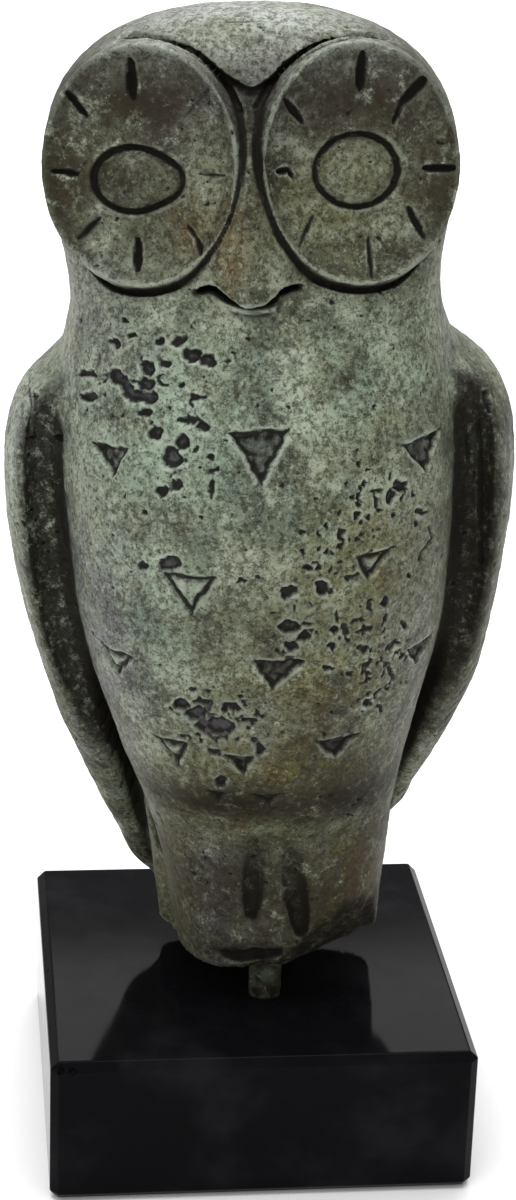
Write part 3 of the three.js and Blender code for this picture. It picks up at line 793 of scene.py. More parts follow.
class Photograph:
    """The camera that took the photograph, in mm around the block and in its 516 by 1200 pixels."""

    WIDTH = 516
    HEIGHT = 1200
    FOCAL = 2839.0
    PLACE: Point = (-42.9, -369.7, 226.8)
    YAW = 6.63
    PITCH = 21.68
    ROLL = 1.9
    SENSOR = 36.0

    def __init__(self) -> None:
        """Works out the camera's directions."""
        yaw, pitch, roll = (math.radians(angle) for angle in (self.YAW, self.PITCH, self.ROLL))
        self.forward = np.array(
            [math.sin(yaw) * math.cos(pitch), math.cos(yaw) * math.cos(pitch), -math.sin(pitch)]
        )
        level = np.array([math.cos(yaw), -math.sin(yaw), 0])
        upright = np.cross(level, self.forward)
        self.right = math.cos(roll) * level + math.sin(roll) * upright
        self.up = -math.sin(roll) * level + math.cos(roll) * upright

    def picture(self, points: Array) -> tuple[Array, Array]:
        """Where each point shows, in pixels from the left and from the top."""
        away = points - self.PLACE
        depth = away @ self.forward
        across = self.WIDTH / 2 + self.FOCAL * (away @ self.right) / depth
        down = self.HEIGHT / 2 - self.FOCAL * (away @ self.up) / depth
        return across, down

    def facing(self, points: Array, normals: Array) -> Array:
        """How squarely the surface faces the camera, 1 for straight at it."""
        away = points - self.PLACE
        return -(normals * away).sum(axis=1) / np.linalg.norm(away, axis=1)

    def build(self) -> None:
        """Adds the camera to the scene."""
        camera = bpy.data.cameras.new("camera")
        camera.sensor_width = self.SENSOR
        camera.lens = self.FOCAL * self.SENSOR / self.HEIGHT
        camera.clip_start = 0.01
        holder = bpy.data.objects.new("camera", camera)
        turn = Matrix([self.right, self.up, -self.forward]).transposed().to_4x4()
        holder.matrix_world = Matrix.Translation(Vector(self.PLACE) * MM) @ turn
        bpy.context.scene.collection.objects.link(holder)
        bpy.context.scene.camera = holder


class Stance:
    """Turns the owl's own frame into the frame of the block, in mm."""

    def __init__(self) -> None:
        """Works out the turn and the lean."""
        turn, lean = math.radians(FIGURE_TURN), math.radians(FIGURE_LEAN)
        about_z = np.array(
            [[math.cos(turn), -math.sin(turn), 0], [math.sin(turn), math.cos(turn), 0], [0, 0, 1]]
        )
        about_y = np.array(
            [[math.cos(lean), 0, -math.sin(lean)], [0, 1, 0], [math.sin(lean), 0, math.cos(lean)]]
        )
        self.matrix = about_y @ about_z

    def place(self, points: Array) -> Array:
        """Points of the owl's frame in the block's frame."""
        return points @ self.matrix.T + FEET_PLACE

    def direction(self, vectors: Array) -> Array:
        """Directions of the owl's frame in the block's frame."""
        return vectors @ self.matrix.T


class Relief:
    """What corrosion, the carver and wear did to the cast form.

    Places of single pits are as seen in the photograph, in its pixels: across, down, width, height.
    """

    PIXEL = 0.148
    PITS = (
        (114, 343, 14, 9), (131, 335, 9, 8), (160, 342, 12, 12), (179, 341, 17, 10), (124, 320, 7, 7),
        (192, 356, 22, 16), (209, 360, 15, 13), (227, 359, 9, 6), (233, 352, 5, 5), (116, 376, 22, 16),
        (147, 369, 16, 14), (126, 386, 16, 13), (86, 374, 19, 10), (89, 397, 20, 10), (89, 411, 6, 6),
        (146, 413, 22, 9), (154, 433, 13, 17), (189, 421, 27, 8), (204, 427, 10, 12), (182, 442, 16, 16),
        (171, 458, 19, 22), (175, 484, 14, 9), (161, 491, 19, 12), (211, 459, 9, 9), (219, 470, 7, 7),
        (212, 487, 8, 20), (199, 518, 5, 5), (144, 511, 7, 7), (197, 397, 19, 7), (181, 384, 10, 7),
        (202, 379, 5, 5), (204, 383, 5, 5), (164, 364, 14, 8), (59, 437, 10, 12), (356, 451, 5, 5),
        (359, 463, 5, 5), (369, 469, 5, 5), (346, 484, 4, 9), (367, 482, 10, 7), (361, 487, 6, 8),
        (360, 497, 6, 10), (353, 498, 6, 5), (358, 504, 6, 8), (357, 515, 8, 8), (338, 510, 5, 11),
        (400, 487, 14, 12), (392, 498, 12, 15), (390, 478, 5, 12), (378, 491, 12, 5), (414, 494, 7, 8),
        (379, 511, 8, 5), (393, 514, 7, 6), (370, 520, 6, 6), (421, 512, 12, 8), (416, 525, 5, 6),
        (304, 532, 12, 5), (327, 527, 7, 7), (320, 534, 5, 7), (342, 534, 8, 16), (339, 547, 6, 8),
        (327, 551, 7, 10), (333, 555, 6, 5), (362, 534, 5, 6), (350, 541, 5, 5), (375, 535, 5, 5),
        (303, 553, 7, 15), (309, 568, 9, 8), (318, 568, 6, 6), (289, 592, 17, 11), (322, 588, 15, 13),
        (410, 575, 7, 7), (387, 603, 8, 16), (289, 627, 18, 15), (307, 625, 16, 5), (304, 637, 13, 12),
        (292, 645, 14, 10), (336, 616, 5, 16), (333, 631, 8, 8), (331, 646, 11, 8), (329, 669, 15, 7),
        (365, 630, 5, 10), (364, 650, 9, 6), (386, 630, 5, 5), (406, 625, 5, 10), (395, 642, 10, 5),
        (392, 672, 6, 18), (367, 703, 10, 12), (380, 710, 5, 8), (241, 582, 7, 7), (272, 615, 5, 5),
        (170, 707, 8, 7), (181, 704, 15, 12), (196, 714, 22, 16), (204, 702, 22, 8), (192, 691, 10, 5),
        (209, 689, 8, 5), (231, 708, 20, 12), (220, 727, 30, 18), (249, 720, 20, 8), (264, 715, 8, 5),
        (202, 727, 12, 16), (214, 751, 16, 8), (260, 749, 10, 16), (220, 782, 14, 14), (22, 524, 9, 7),
        (168, 564, 26, 13), (142, 567, 8, 8), (487, 400, 9, 24), (34, 402, 12, 22), (36, 368, 14, 12),
        (147, 384, 17, 14), (136, 396, 25, 15), (148, 398, 17, 14), (129, 394, 13, 11),
    )
    SPONGY = (
        (372, 655, 40, 66, 0.75), (340, 560, 44, 40, 0.55), (380, 500, 44, 30, 0.5),
        (225, 722, 62, 34, 0.7), (150, 390, 70, 50, 0.45), (180, 470, 44, 44, 0.4),
        (333, 742, 26, 16, 0.8), (300, 640, 30, 30, 0.4), (115, 600, 34, 60, 0.2),
        (240, 880, 110, 50, 0.25), (480, 520, 30, 90, 0.3), (30, 480, 26, 90, 0.3),
        (345, 810, 30, 22, 0.5), (190, 120, 18, 32, 0.4),
    )
    MARKS = (
        Mark(0.2, 85.2, 8.0, 7.3, 0.2, Cut.SUNK, 0.02),
        Mark(-19.4, 81.6, 5.2, 4.2, 0.3, Cut.SUNK, 0.05),
        Mark(21.4, 81.2, 5.6, 5.0, 0.9, Cut.SUNK),
        Mark(-9.3, 65.7, 7.5, 5.7, 0.0, Cut.OUTLINED),
        Mark(15.1, 67.6, 5.1, 3.8, -1.0, Cut.OUTLINED),
        Mark(-19.9, 52.0, 5.2, 4.0, 0.4, Cut.OUTLINED),
        Mark(2.4, 53.5, 7.5, 4.6, -1.3, Cut.SUNK),
        Mark(21.6, 51.4, 4.2, 3.4, -0.6, Cut.SUNK),
        Mark(-12.8, 39.8, 5.2, 4.2, 1.1, Cut.OUTLINED),
        Mark(10.0, 40.2, 6.6, 3.2, -0.4, Cut.SUNK),
        Mark(-3.5, 38.4, 4.7, 3.3, 0.9, Cut.SUNK),
        Mark(0.3, 31.7, 4.4, 1.9, 0.2, Cut.OUTLINED),
        Mark(-6.5, 32.1, 3.1, 2.2, 0.1, Cut.OUTLINED),
    )
    CRACK = ((429.6, 527), (433, 538.6), (424, 551), (420, 560))
    STROKES = (
        (129, 57, 133.5, 101, 11, 1.1), (65, 89, 88, 118, 7, 1.0), (50, 170, 80, 174, 7, 1.0),
        (102, 216, 77, 240, 9, 0.5), (138, 236, 137, 273, 8.5, 1.0), (187, 225, 197, 239, 6, 0.45),
        (196, 236, 202, 258, 7, 0.6), (199, 174, 226, 176, 5, 0.3), (209, 88, 182, 119, 10, 0.25),
        (363, 50, 360, 92, 11, 1.1), (428, 75, 399, 106, 11, 0.9), (402, 102, 393, 125, 5, 0.6),
        (421, 168, 457, 168, 8, 1.0), (407, 205, 424, 239, 8, 0.8), (368, 235, 372, 280, 5, 0.5),
        (314, 214, 299, 248, 8, 0.35), (276, 172, 291, 170, 7, 0.9), (288, 170, 293, 178, 5, 0.8),
        (284, 98, 304, 124, 8, 0.8),
    )
    SCRATCHES = (
        ((223, 14), (274, 18)), ((226, 22), (262, 20)), ((345, 20), (356, 22)), ((120, 25), (130, 30)),
        ((496, 469), (511, 492)), ((497, 484), (510, 508)), ((498, 500), (510, 523)),
        ((498, 539), (504, 556)), ((262, 28), (281, 33)),
    )
    LINES = (
        ((28, 378), (28, 432)), ((478, 423), (480, 465)), ((480, 465), (480, 562)), ((467, 436), (469, 462)),
    )
    SEAMS = (
        ((97, 42), (119, 36), (143, 35), (166, 39), (189, 49), (211, 66), (229, 87), (241, 110)),
        ((420, 52), (396, 39), (375, 35), (352, 36), (330, 41), (310, 50), (286, 66), (267, 85), (256, 106)),
    )

    def __init__(self, camera: Photograph, stance: Stance, form: OwlForm) -> None:
        """Keeps what the relief is measured against.

        Args:
            camera: The photograph's camera.
            stance: The owl's place on the block.
            form: The owl's plain form.
        """
        self.camera, self.stance, self.form = camera, stance, form
        self.coarse, self.fine, self.rough = Grain(3), Grain(4), Grain(5)

    def measure(self, points: Array, normals: Array) -> None:
        """Reads where every point shows and how wobbly its edges are.

        Args:
            points: Points on the plain form, in the owl's frame.
            normals: The surface's outward directions there.
        """
        self.points, self.normals = points, normals
        world = self.stance.place(points)
        self.u, self.v = self.camera.picture(world)
        self.facing = self.camera.facing(world, self.stance.direction(normals))
        self.front = smooth_step(self.facing, 0.12, 0.4)
        self.wobble_a = self.coarse.layers(points, 2.2, 2)
        self.wobble_b = self.fine.layers(points + 50, 2.2, 2)
        self.crumb = self.rough.layers(points, 1.1, 2)
        self.crumb_b = self.rough.layers(points + 70, 1.1, 2)

    def marks(self) -> tuple[Array, Array]:
        """Depth of the carved triangles, and how much each point belongs to one."""
        x = self.points[:, 0] + 0.25 * self.wobble_a + 0.14 * self.crumb
        z = self.points[:, 2] + 0.25 * self.wobble_b + 0.14 * self.crumb_b
        depth, mask = np.zeros(len(x)), np.zeros(len(x))
        for mark in self.MARKS:
            edge = mark.inside(x, z)
            if mark.cut is Cut.SUNK:
                cut = 0.85 * smooth_step(edge, -0.12, 0.35) + 0.3 * self.crumb * smooth_step(edge, 0.0, 0.5)
            else:
                cut = 0.75 * np.exp(-(((edge - 0.42) / 0.42) ** 2)) + 0.1 * self.crumb * (edge > 0)
            lip = -0.06 * np.exp(-(((edge + 0.35) / 0.25) ** 2))
            use = (edge > -1.4) & (self.points[:, 1] < 0)
            depth = np.where(use, depth + cut + lip, depth)
            mask = np.where(use, np.maximum(mask, np.clip(cut, 0, 1)), mask)
        return depth * self.front, mask * self.front

    def pits(self) -> tuple[Array, Array]:
        """Depth of the single corrosion pits, and how much each point belongs to one."""
        u = self.u + 3.0 * self.wobble_a + 2.2 * self.crumb
        v = self.v + 3.0 * self.wobble_b + 2.2 * self.crumb_b
        depth, mask = np.zeros(len(u)), np.zeros(len(u))
        for across, down, width, height in self.PITS:
            near = (np.abs(u - across) < width) & (np.abs(v - down) < height) & (self.facing > 0.1)
            place = np.flatnonzero(near)
            ring = np.hypot((u[place] - across) / (width / 2), (v[place] - down) / (height / 2))
            size = min(width, height) * self.PIXEL
            edge = (1 - ring) * size / 2
            floor = min(0.3 + 0.24 * size, 0.8)
            cut = floor * smooth_step(edge, -0.06, 0.2)
            lip = -0.03 * np.exp(-(((edge + 0.3) / 0.2) ** 2))
            depth[place] = np.where(depth[place] > cut, depth[place], cut + lip)
            mask[place] = np.maximum(mask[place], smooth_step(edge, -0.05, 0.25))
        return depth * self.front, mask * self.front

    def sponge(self) -> tuple[Array, Array]:
        """Depth of the clustered fine pits, and how much each point belongs to one."""
        share = np.full(len(self.u), 0.1)
        for across, down, width, height, amount in self.SPONGY:
            ring = np.hypot((self.u - across) / width, (self.v - down) / height)
            share = np.maximum(share, amount * smooth_step(-ring, -1.3, -0.5) * (self.facing > 0.05))
        noise = self.fine.layers(self.points, 1.3, 2) + 0.3 * self.coarse.at(self.points, 3.1)
        mask = smooth_step(noise, 0.92 - 0.85 * share, 1.08 - 0.85 * share)
        return 0.36 * mask, mask

    def strokes(self) -> tuple[Array, Array]:
        """Depth of the radial strokes on the discs, and how much each point belongs to one."""
        depth = np.zeros(len(self.u))
        u, v = self.u + 0.7 * self.wobble_a, self.v + 0.7 * self.wobble_b
        for x, y, x_end, y_end, width, deep in self.STROKES:
            run = np.array([x_end - x, y_end - y], dtype=float)
            share = ((u - x) * run[0] + (v - y) * run[1]) / (run @ run)
            gap = np.abs((u - x) * run[1] - (v - y) * run[0]) / np.hypot(*run)
            arch = np.clip(4 * share * (1 - share), 0, 1)
            cut = deep * arch**0.4 * np.clip(1.15 - gap / (width / 2 * arch**0.4 + 0.01), 0, 1) ** 0.7
            depth = np.maximum(depth, np.where((share > 0) & (share < 1), cut, 0))
        dished = np.zeros(len(depth))
        for disc in self.form.discs:
            across, up, out = disc.local(self.points)
            within = smooth_step(-disc.radius(across, up), -0.95, -0.91)
            dished = np.maximum(dished, within * (out > -disc.depth - 2))
        depth = depth * self.front * dished
        return depth, smooth_step(depth, 0.1, 0.5)

    def scratches(self) -> Array:
        """Depth of the crack, the scratches, the lines along the wings and the seams behind the discs."""
        depth = np.zeros(len(self.u))
        u, v = self.u + 0.8 * self.wobble_a, self.v + 0.8 * self.wobble_b
        crack = [(start, end, 1.5, 0.5) for start, end in zip(self.CRACK, self.CRACK[1:])]
        scores = [(start, end, 1.3, 0.22) for start, end in self.SCRATCHES]
        lines = [(start, end, 2.4, 0.7) for start, end in self.LINES]
        seams = [(start, end, 2.6, 0.8) for seam in self.SEAMS for start, end in zip(seam, seam[1:])]
        for start, end, half, deep in crack + scores + lines + seams:
            run = np.subtract(end, start)
            along = ((u - start[0]) * run[0] + (v - start[1]) * run[1]) / (run @ run)
            along = np.clip(along, 0, 1)
            gap = np.hypot(u - start[0] - along * run[0], v - start[1] - along * run[1])
            depth = np.maximum(depth, deep * np.clip(1 - gap / (half + 1), 0, 1))
        return depth * self.front

    def feathers(self) -> Array:
        """Depth of the cuts between the flight feathers, on the sides and the back."""
        x, y, z = self.points.T
        outwards = smooth_step(np.abs(self.normals[:, 0]), 0.3, 0.65) * smooth_step(y, -3.5, -1)
        depth = np.zeros(len(x))
        for wing in self.form.wings:
            table = wing.sections()
            share = np.clip((z - wing.tip) / (wing.root - wing.tip), 0, 1)
            front, back = table.at(share)[2:]
            fade = smooth_step(share, 0.1, 0.2) * smooth_step(-share, -0.82, -0.7)
            for place in (0.27, 0.52, 0.77):
                line = front + (back - front) * place + 0.5 * self.wobble_a * 0.4
                cut = 0.75 * np.clip(1 - np.abs(y - line) / 0.75, 0, 1) * fade
                depth = np.where(x * wing.side.value > 14, np.maximum(depth, cut), depth)
        barbs = np.abs(((z * 0.55 - y + 0.3 * self.wobble_b) / 2.3) % 1 - 0.5) * 2
        feathered = (np.abs(x) > 14) & (z > 14) & (z < 84)
        depth = np.maximum(depth, np.where(feathered, 0.22 * np.clip(1 - barbs / 0.42, 0, 1), 0))
        depth = depth * outwards
        behind = smooth_step(self.normals[:, 1], 0.4, 0.75) * smooth_step(-z, -50, -30) * smooth_step(z, 3, 6)
        for place in (-4.2, 0.0, 4.2):
            depth = np.maximum(depth, 0.8 * np.clip(1 - np.abs(x - place) / 0.8, 0, 1) * behind)
        return depth

    def shape(self) -> tuple[Array, Array, Array]:
        """The whole relief.

        Returns:
            How deep each point is sunk in mm, its share in a pit, and its share in a carved mark.
        """
        mark, marked = self.marks()
        pit, pitted = self.pits()
        sponge, spongy = self.sponge()
        depth = np.maximum(mark, pit + 0.12 * self.crumb * pitted)
        depth = np.where(mark < -0.01, np.minimum(mark, -0.01) + depth, depth)
        depth = np.maximum(depth, sponge)
        depth = np.maximum(depth, self.scratches())
        depth = depth + self.feathers()
        stroke, struck = self.strokes()
        depth = np.maximum(depth, stroke)
        marked = np.maximum(marked, struck)
        hammered = 0.12 * self.coarse.layers(self.points + 11, 6.0, 2) + 0.045 * self.crumb
        return depth - hammered, np.maximum(pitted, 0.8 * spongy), marked


def linear(colour: str) -> tuple[float, float, float, float]:
    """A colour written as sRGB hex, such as #8A9A86, in the linear values that shaders take."""
    values = [int(colour[n : n + 2], 16) / 255 for n in (1, 3, 5)]
    return (*(v / 12.92 if v <= 0.04045 else ((v + 0.055) / 1.055) ** 2.4 for v in values), 1.0)


def add_node(
    tree: bpy.types.NodeTree,
    kind: str,
    settings: dict[str, Any] | None = None,
    inputs: dict[str | int, Any] | None = None,
) -> bpy.types.Node:
    """Adds a node.

    Args:
        tree: The tree that it joins.
        kind: Blender's name for the node's type.
        settings: Values of the node's own options.
        inputs: By input name or number, either a value or the output that is linked to it.

    Returns:
        The node.
    """
    node = tree.nodes.new(kind)
    for name, value in (settings or {}).items():
        setattr(node, name, value)
    for name, value in (inputs or {}).items():
        if isinstance(value, bpy.types.NodeSocket):
            tree.links.new(value, node.inputs[name])
        else:
            node.inputs[name].default_value = value
    return node


class Finish:
    """A material under construction: Object coordinates in mm and short ways to mix and bump."""

    def __init__(self, name: str) -> None:
        """Starts an empty material of that name."""
        self.material = bpy.data.materials.new(name)
        self.material.use_nodes = True
        self.tree = self.material.node_tree
        self.tree.nodes.clear()
        place = add_node(self.tree, "ShaderNodeTexCoord").outputs["Object"]
        scale = {1: (1 / MM, 1 / MM, 1 / MM)}
        self.place = add_node(
            self.tree, "ShaderNodeVectorMath", {"operation": "MULTIPLY"}, {0: place, **scale}
        ).outputs[0]

    def node(
        self, kind: str, settings: dict[str, Any] | None = None, inputs: dict[str | int, Any] | None = None
    ) -> bpy.types.Node:
        """Adds a node to this material, as add_node does."""
        return add_node(self.tree, kind, settings, inputs)

    def noise(self, size: float, detail: float = 3.0, rough: float = 0.55, shift: float = 0.0) -> Any:
        """Cloudy noise with features of about size mm, 0 to 1."""
        inputs = {"Scale": 1 / size, "Detail": detail, "Roughness": rough, "W": shift, "Vector": self.place}
        return self.node("ShaderNodeTexNoise", {"noise_dimensions": "4D"}, inputs).outputs["Fac"]

    def patches(self, size: float, low: float, high: float, rough: float = 0.6, shift: float = 0.0) -> Any:
        """Blotches of noise, 0 where the noise is at low and 1 at high.

        Args:
            size: Size of the largest blotches in mm.
            low: Where they begin, in standard deviations of the noise from its middle.
            high: Where they are full.
            rough: Share of fine detail.
            shift: Place in the noise, so that no two uses match.

        Returns:
            The output that carries the blotches.
        """
        detail = 5
        shares = [rough**layer for layer in range(detail + 1)]
        spread = 0.13 * math.sqrt(sum(share**2 for share in shares)) / sum(shares)
        return self.ramp(self.noise(size, detail, rough, shift), 0.5 + low * spread, 0.5 + high * spread)

    def attribute(self, name: str) -> Any:
        """A value stored on the mesh's points."""
        return self.node("ShaderNodeAttribute", {"attribute_name": name}).outputs["Fac"]

    def ramp(self, value: Any, low: float, high: float, start: float = 0.0, end: float = 1.0) -> Any:
        """Turns low to high into start to end, held at both ends."""
        inputs = {"Value": value, "From Min": low, "From Max": high, "To Min": start, "To Max": end}
        settings = {"clamp": True, "interpolation_type": "SMOOTHSTEP"}
        return self.node("ShaderNodeMapRange", settings, inputs).outputs["Result"]

    def times(self, first: Any, second: Any) -> Any:
        """One value times another."""
        return self.node("ShaderNodeMath", {"operation": "MULTIPLY"}, {0: first, 1: second}).outputs[0]

    def plus(self, first: Any, second: Any) -> Any:
        """One value plus another, held between 0 and 1."""
        settings = {"operation": "ADD", "use_clamp": True}
        return self.node("ShaderNodeMath", settings, {0: first, 1: second}).outputs[0]

    def mix(self, share: Any, first: Any, second: Any, way: str = "MIX") -> Any:
        """Mixes two colours, each an output or a hex colour."""
        colours = [linear(colour) if isinstance(colour, str) else colour for colour in (first, second)]
        settings = {"data_type": "RGBA", "blend_type": way, "clamp_factor": True}
        node = self.node("ShaderNodeMix", settings, {0: share})
        for number, colour in zip((6, 7), colours):
            if isinstance(colour, tuple):
                node.inputs[number].default_value = colour
            else:
                self.tree.links.new(colour, node.inputs[number])
        return node.outputs[2]

    def close(self, inputs: dict[str, Any]) -> bpy.types.Material:
        """Ends the material with a shader that has those inputs."""
        shader = self.node("ShaderNodeBsdfPrincipled", None, inputs)
        self.node("ShaderNodeOutputMaterial", None, {"Surface": shader.outputs[0]})
        return self.material


@dataclass(frozen=True)
class VerdigrisBronze:
    """Cast tin bronze under an old green patina, buried, dug up and cleaned."""

    mid: str = "#80876F"
    deep: str = "#45473A"
    pale: str = "#AEB6A0"
    mint: str = "#95A995"
    olive: str = "#726A30"
    ochre: str = "#7F5A22"
    lilac: str = "#77727F"
    # Dark brown for a darker patina that is also painted shade on the discs, under the belly, on the legs and
    # low on the sides, and for fine dark speckle
    umber_and_shade: str = "#2B2415"
    # Paler patina with painted top light, on the crown and along the left shoulder and wing edge
    bleached: str = "#A8AEA7"
    # Near-black for painted shade and dirt in hollows, creases and grooves and under the belly
    shade_and_dirt: str = "#15120D"
    floor: str = "#34313A"
    # Pale colour of rubbed ridges, also a painted highlight along the disc rims
    rubbed: str = "#A3AD9C"
    # The real crust is grained at about 0.05 mm, too fine to show, so it is drawn this coarse, in mm
    grain: float = 0.32
    roughness: float = 0.5
    gloss: float = 0.15

    def build(self) -> bpy.types.Material:
        """Makes the patina: soft cloudy greens in patches, painted shade and dirt in every hollow, pale
        rubbed ridges with a painted highlight on the disc rims.
        """
        finish = Finish("verdigris_bronze")
        colour = finish.mix(finish.patches(12.0, -1.6, 1.2), self.deep, self.mid)
        colour = finish.mix(finish.times(finish.patches(6.0, -0.4, 2.2, 0.7, 3.0), 0.8), colour, self.pale)
        for name, tint, size in (
            ("mint", self.mint, 5.0),
            ("olive", self.olive, 4.0),
            ("ochre", self.ochre, 2.4),
            ("lilac", self.lilac, 4.0),
            ("bleached", self.bleached, 8.0),
        ):
            patch = finish.patches(size, -2.4, 1.0, 0.7, len(name) * 1.7)
            colour = finish.mix(finish.times(finish.attribute(name), patch), colour, tint)
        dark = finish.mix(1.0, colour, "#8F8C86", "MULTIPLY")
        colour = finish.mix(finish.patches(0.8, -1.8, 1.2, 0.8, 2.0), dark, colour)
        colour = finish.mix(finish.times(finish.patches(0.7, 0.3, 2.4, 0.75, 15.0), 0.5), colour, self.pale)
        # Rubbed ridges turn pale; on the disc rims this is also a painted highlight
        ridge = finish.ramp(finish.attribute("rub"), 0.6, 0.95)
        colour = finish.mix(finish.times(ridge, 0.7), colour, self.rubbed)
        # Darker patina and painted shade where the discs and the lower body face away from the light
        wash = finish.times(finish.attribute("umber_and_shade"), finish.patches(2.4, -2.8, 0.0, 0.8, 8.5))
        colour = finish.mix(wash, colour, self.umber_and_shade)
        colour = finish.mix(finish.times(finish.patches(0.6, 0.5, 2.0, 0.8, 9.0), 0.75), colour, self.umber_and_shade)
        colour = finish.mix(finish.times(finish.attribute("pit"), 0.85), colour, self.floor)
        # Concave creases darken: painted shade and dirt
        crease_shade_and_dirt = finish.ramp(finish.attribute("rub"), 0.46, 0.22)
        colour = finish.mix(finish.times(crease_shade_and_dirt, 0.85), colour, self.shade_and_dirt)
        # Shut-in hollows darken as painted shade and dirt, and the shade patches paint shadow in the coves,
        # the leg grooves, under the belly and around the discs
        hollow_shade_and_grime = finish.ramp(finish.attribute("recess"), 0.18, 0.7)
        black = finish.times(finish.attribute("painted_shade"), finish.patches(1.2, -3.0, 0.2, 0.8, 4.5))
        shade_and_grime = finish.plus(hollow_shade_and_grime, black)
        colour = finish.mix(finish.times(shade_and_grime, 0.95), colour, self.shade_and_dirt)
        rough = finish.plus(finish.ramp(ridge, 0.0, 1.0, self.roughness, 0.36), finish.times(shade_and_grime, 0.35))
        height = finish.noise(self.grain, 4.0, 0.7, 1.0)
        bump = finish.node("ShaderNodeBump", None, {"Strength": 0.5, "Distance": 0.14 * MM, "Height": height})
        return finish.close(
            {
                "Base Color": colour,
                "Roughness": rough,
                "Metallic": 0.12,
                "Specular IOR Level": self.gloss,
                "Normal": bump.outputs[0],
            }
        )


@dataclass(frozen=True)
class TarnishedBronze:
    """A turned bronze pin, tarnished green with its colour rubbed off in places, its colours darkened as
    painted shade where it stands under the owl.
    """

    # Green and brown are darker than the tarnish itself: painted shade under the owl
    green: str = "#464E3C"
    brown: str = "#241F17"
    bright: str = "#8D8C72"

    def build(self) -> bpy.types.Material:
        """Makes the tarnish, darkened as painted shade: blotches of dull green over brown metal."""
        finish = Finish("tarnished_bronze")
        colour = finish.mix(finish.ramp(finish.noise(1.6, 4.0), 0.42, 0.6), self.brown, self.green)
        colour = finish.mix(finish.patches(1.3, 1.2, 2.2, 0.6, 4.0), colour, self.bright)
        bump = finish.node(
            "ShaderNodeBump", None, {"Strength": 0.4, "Distance": 0.1 * MM, "Height": finish.noise(0.5)}
        )
        return finish.close(
            {"Base Color": colour, "Roughness": 0.45, "Metallic": 0.35, "Normal": bump.outputs[0]}
        )


@dataclass(frozen=True)
class PolishedMarble:
    """Black marble, sawn, ground and polished to a mirror."""

    black: str = "#0D0D0F"
    cloud: str = "#1A1A1C"
    dust: str = "#3C3C3E"
    roughness: float = 0.07

    def build(self) -> bpy.types.Material:
        """Makes the stone: nearly black with faint grey clouds, specks of dust and wiping marks."""
        finish = Finish("polished_black_marble")
        colour = finish.mix(finish.ramp(finish.noise(14.0, 6.0, 0.6), 0.45, 0.7), self.black, self.cloud)
        dust = finish.ramp(finish.noise(0.5, 4.0, 0.8, 7.0), 0.66, 0.74)
        colour = finish.mix(finish.times(dust, 0.35), colour, self.dust)
        wiped = finish.noise(5.0, 5.0, 0.7, 6.0)
        rough = finish.ramp(wiped, 0.35, 0.75, self.roughness, self.roughness + 0.04)
        return finish.close({"Base Color": colour, "Roughness": rough, "Specular IOR Level": 0.026})


def new_piece(name: str, points: Array, faces: Array | list[list[int]]) -> bpy.types.Object:
    """Makes a mesh object.

    Args:
        name: The piece's name.
        points: Its points in mm, in the block's frame.
        faces: Its faces as point numbers.

    Returns:
        The object.
    """
    mesh = bpy.data.meshes.new(name)
    mesh.from_pydata((points * MM).tolist(), [], faces.tolist() if isinstance(faces, np.ndarray) else faces)
    mesh.validate()
    piece = bpy.data.objects.new(name, mesh)
    bpy.context.scene.collection.objects.link(piece)
    return piece


def apply_modifiers(piece: bpy.types.Object) -> None:
    """Turns what a piece's modifiers show into its own mesh."""
    evaluated = piece.evaluated_get(bpy.context.evaluated_depsgraph_get())
    mesh = bpy.data.meshes.new_from_object(evaluated)
    piece.modifiers.clear()
    piece.data = mesh
    mesh.name = piece.name


def cut_into_triangles(piece: bpy.types.Object) -> None:
    """Cuts up a piece's many-sided faces, so that none leaves a needle with no area."""
    builder = bmesh.new()
    builder.from_mesh(piece.data)
    bmesh.ops.triangulate(builder, faces=builder.faces)
    builder.to_mesh(piece.data)
    builder.free()


def declare(piece: bpy.types.Object, node: str, slot: str) -> None:
    """Puts a piece under its body's empty, hides the part it stands for and logs its node and slot."""
    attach(piece, BODY)
    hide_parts(node)
    LOG.info("%s: %d faces, for %s in %s", piece.name, len(piece.data.polygons), node, slot)


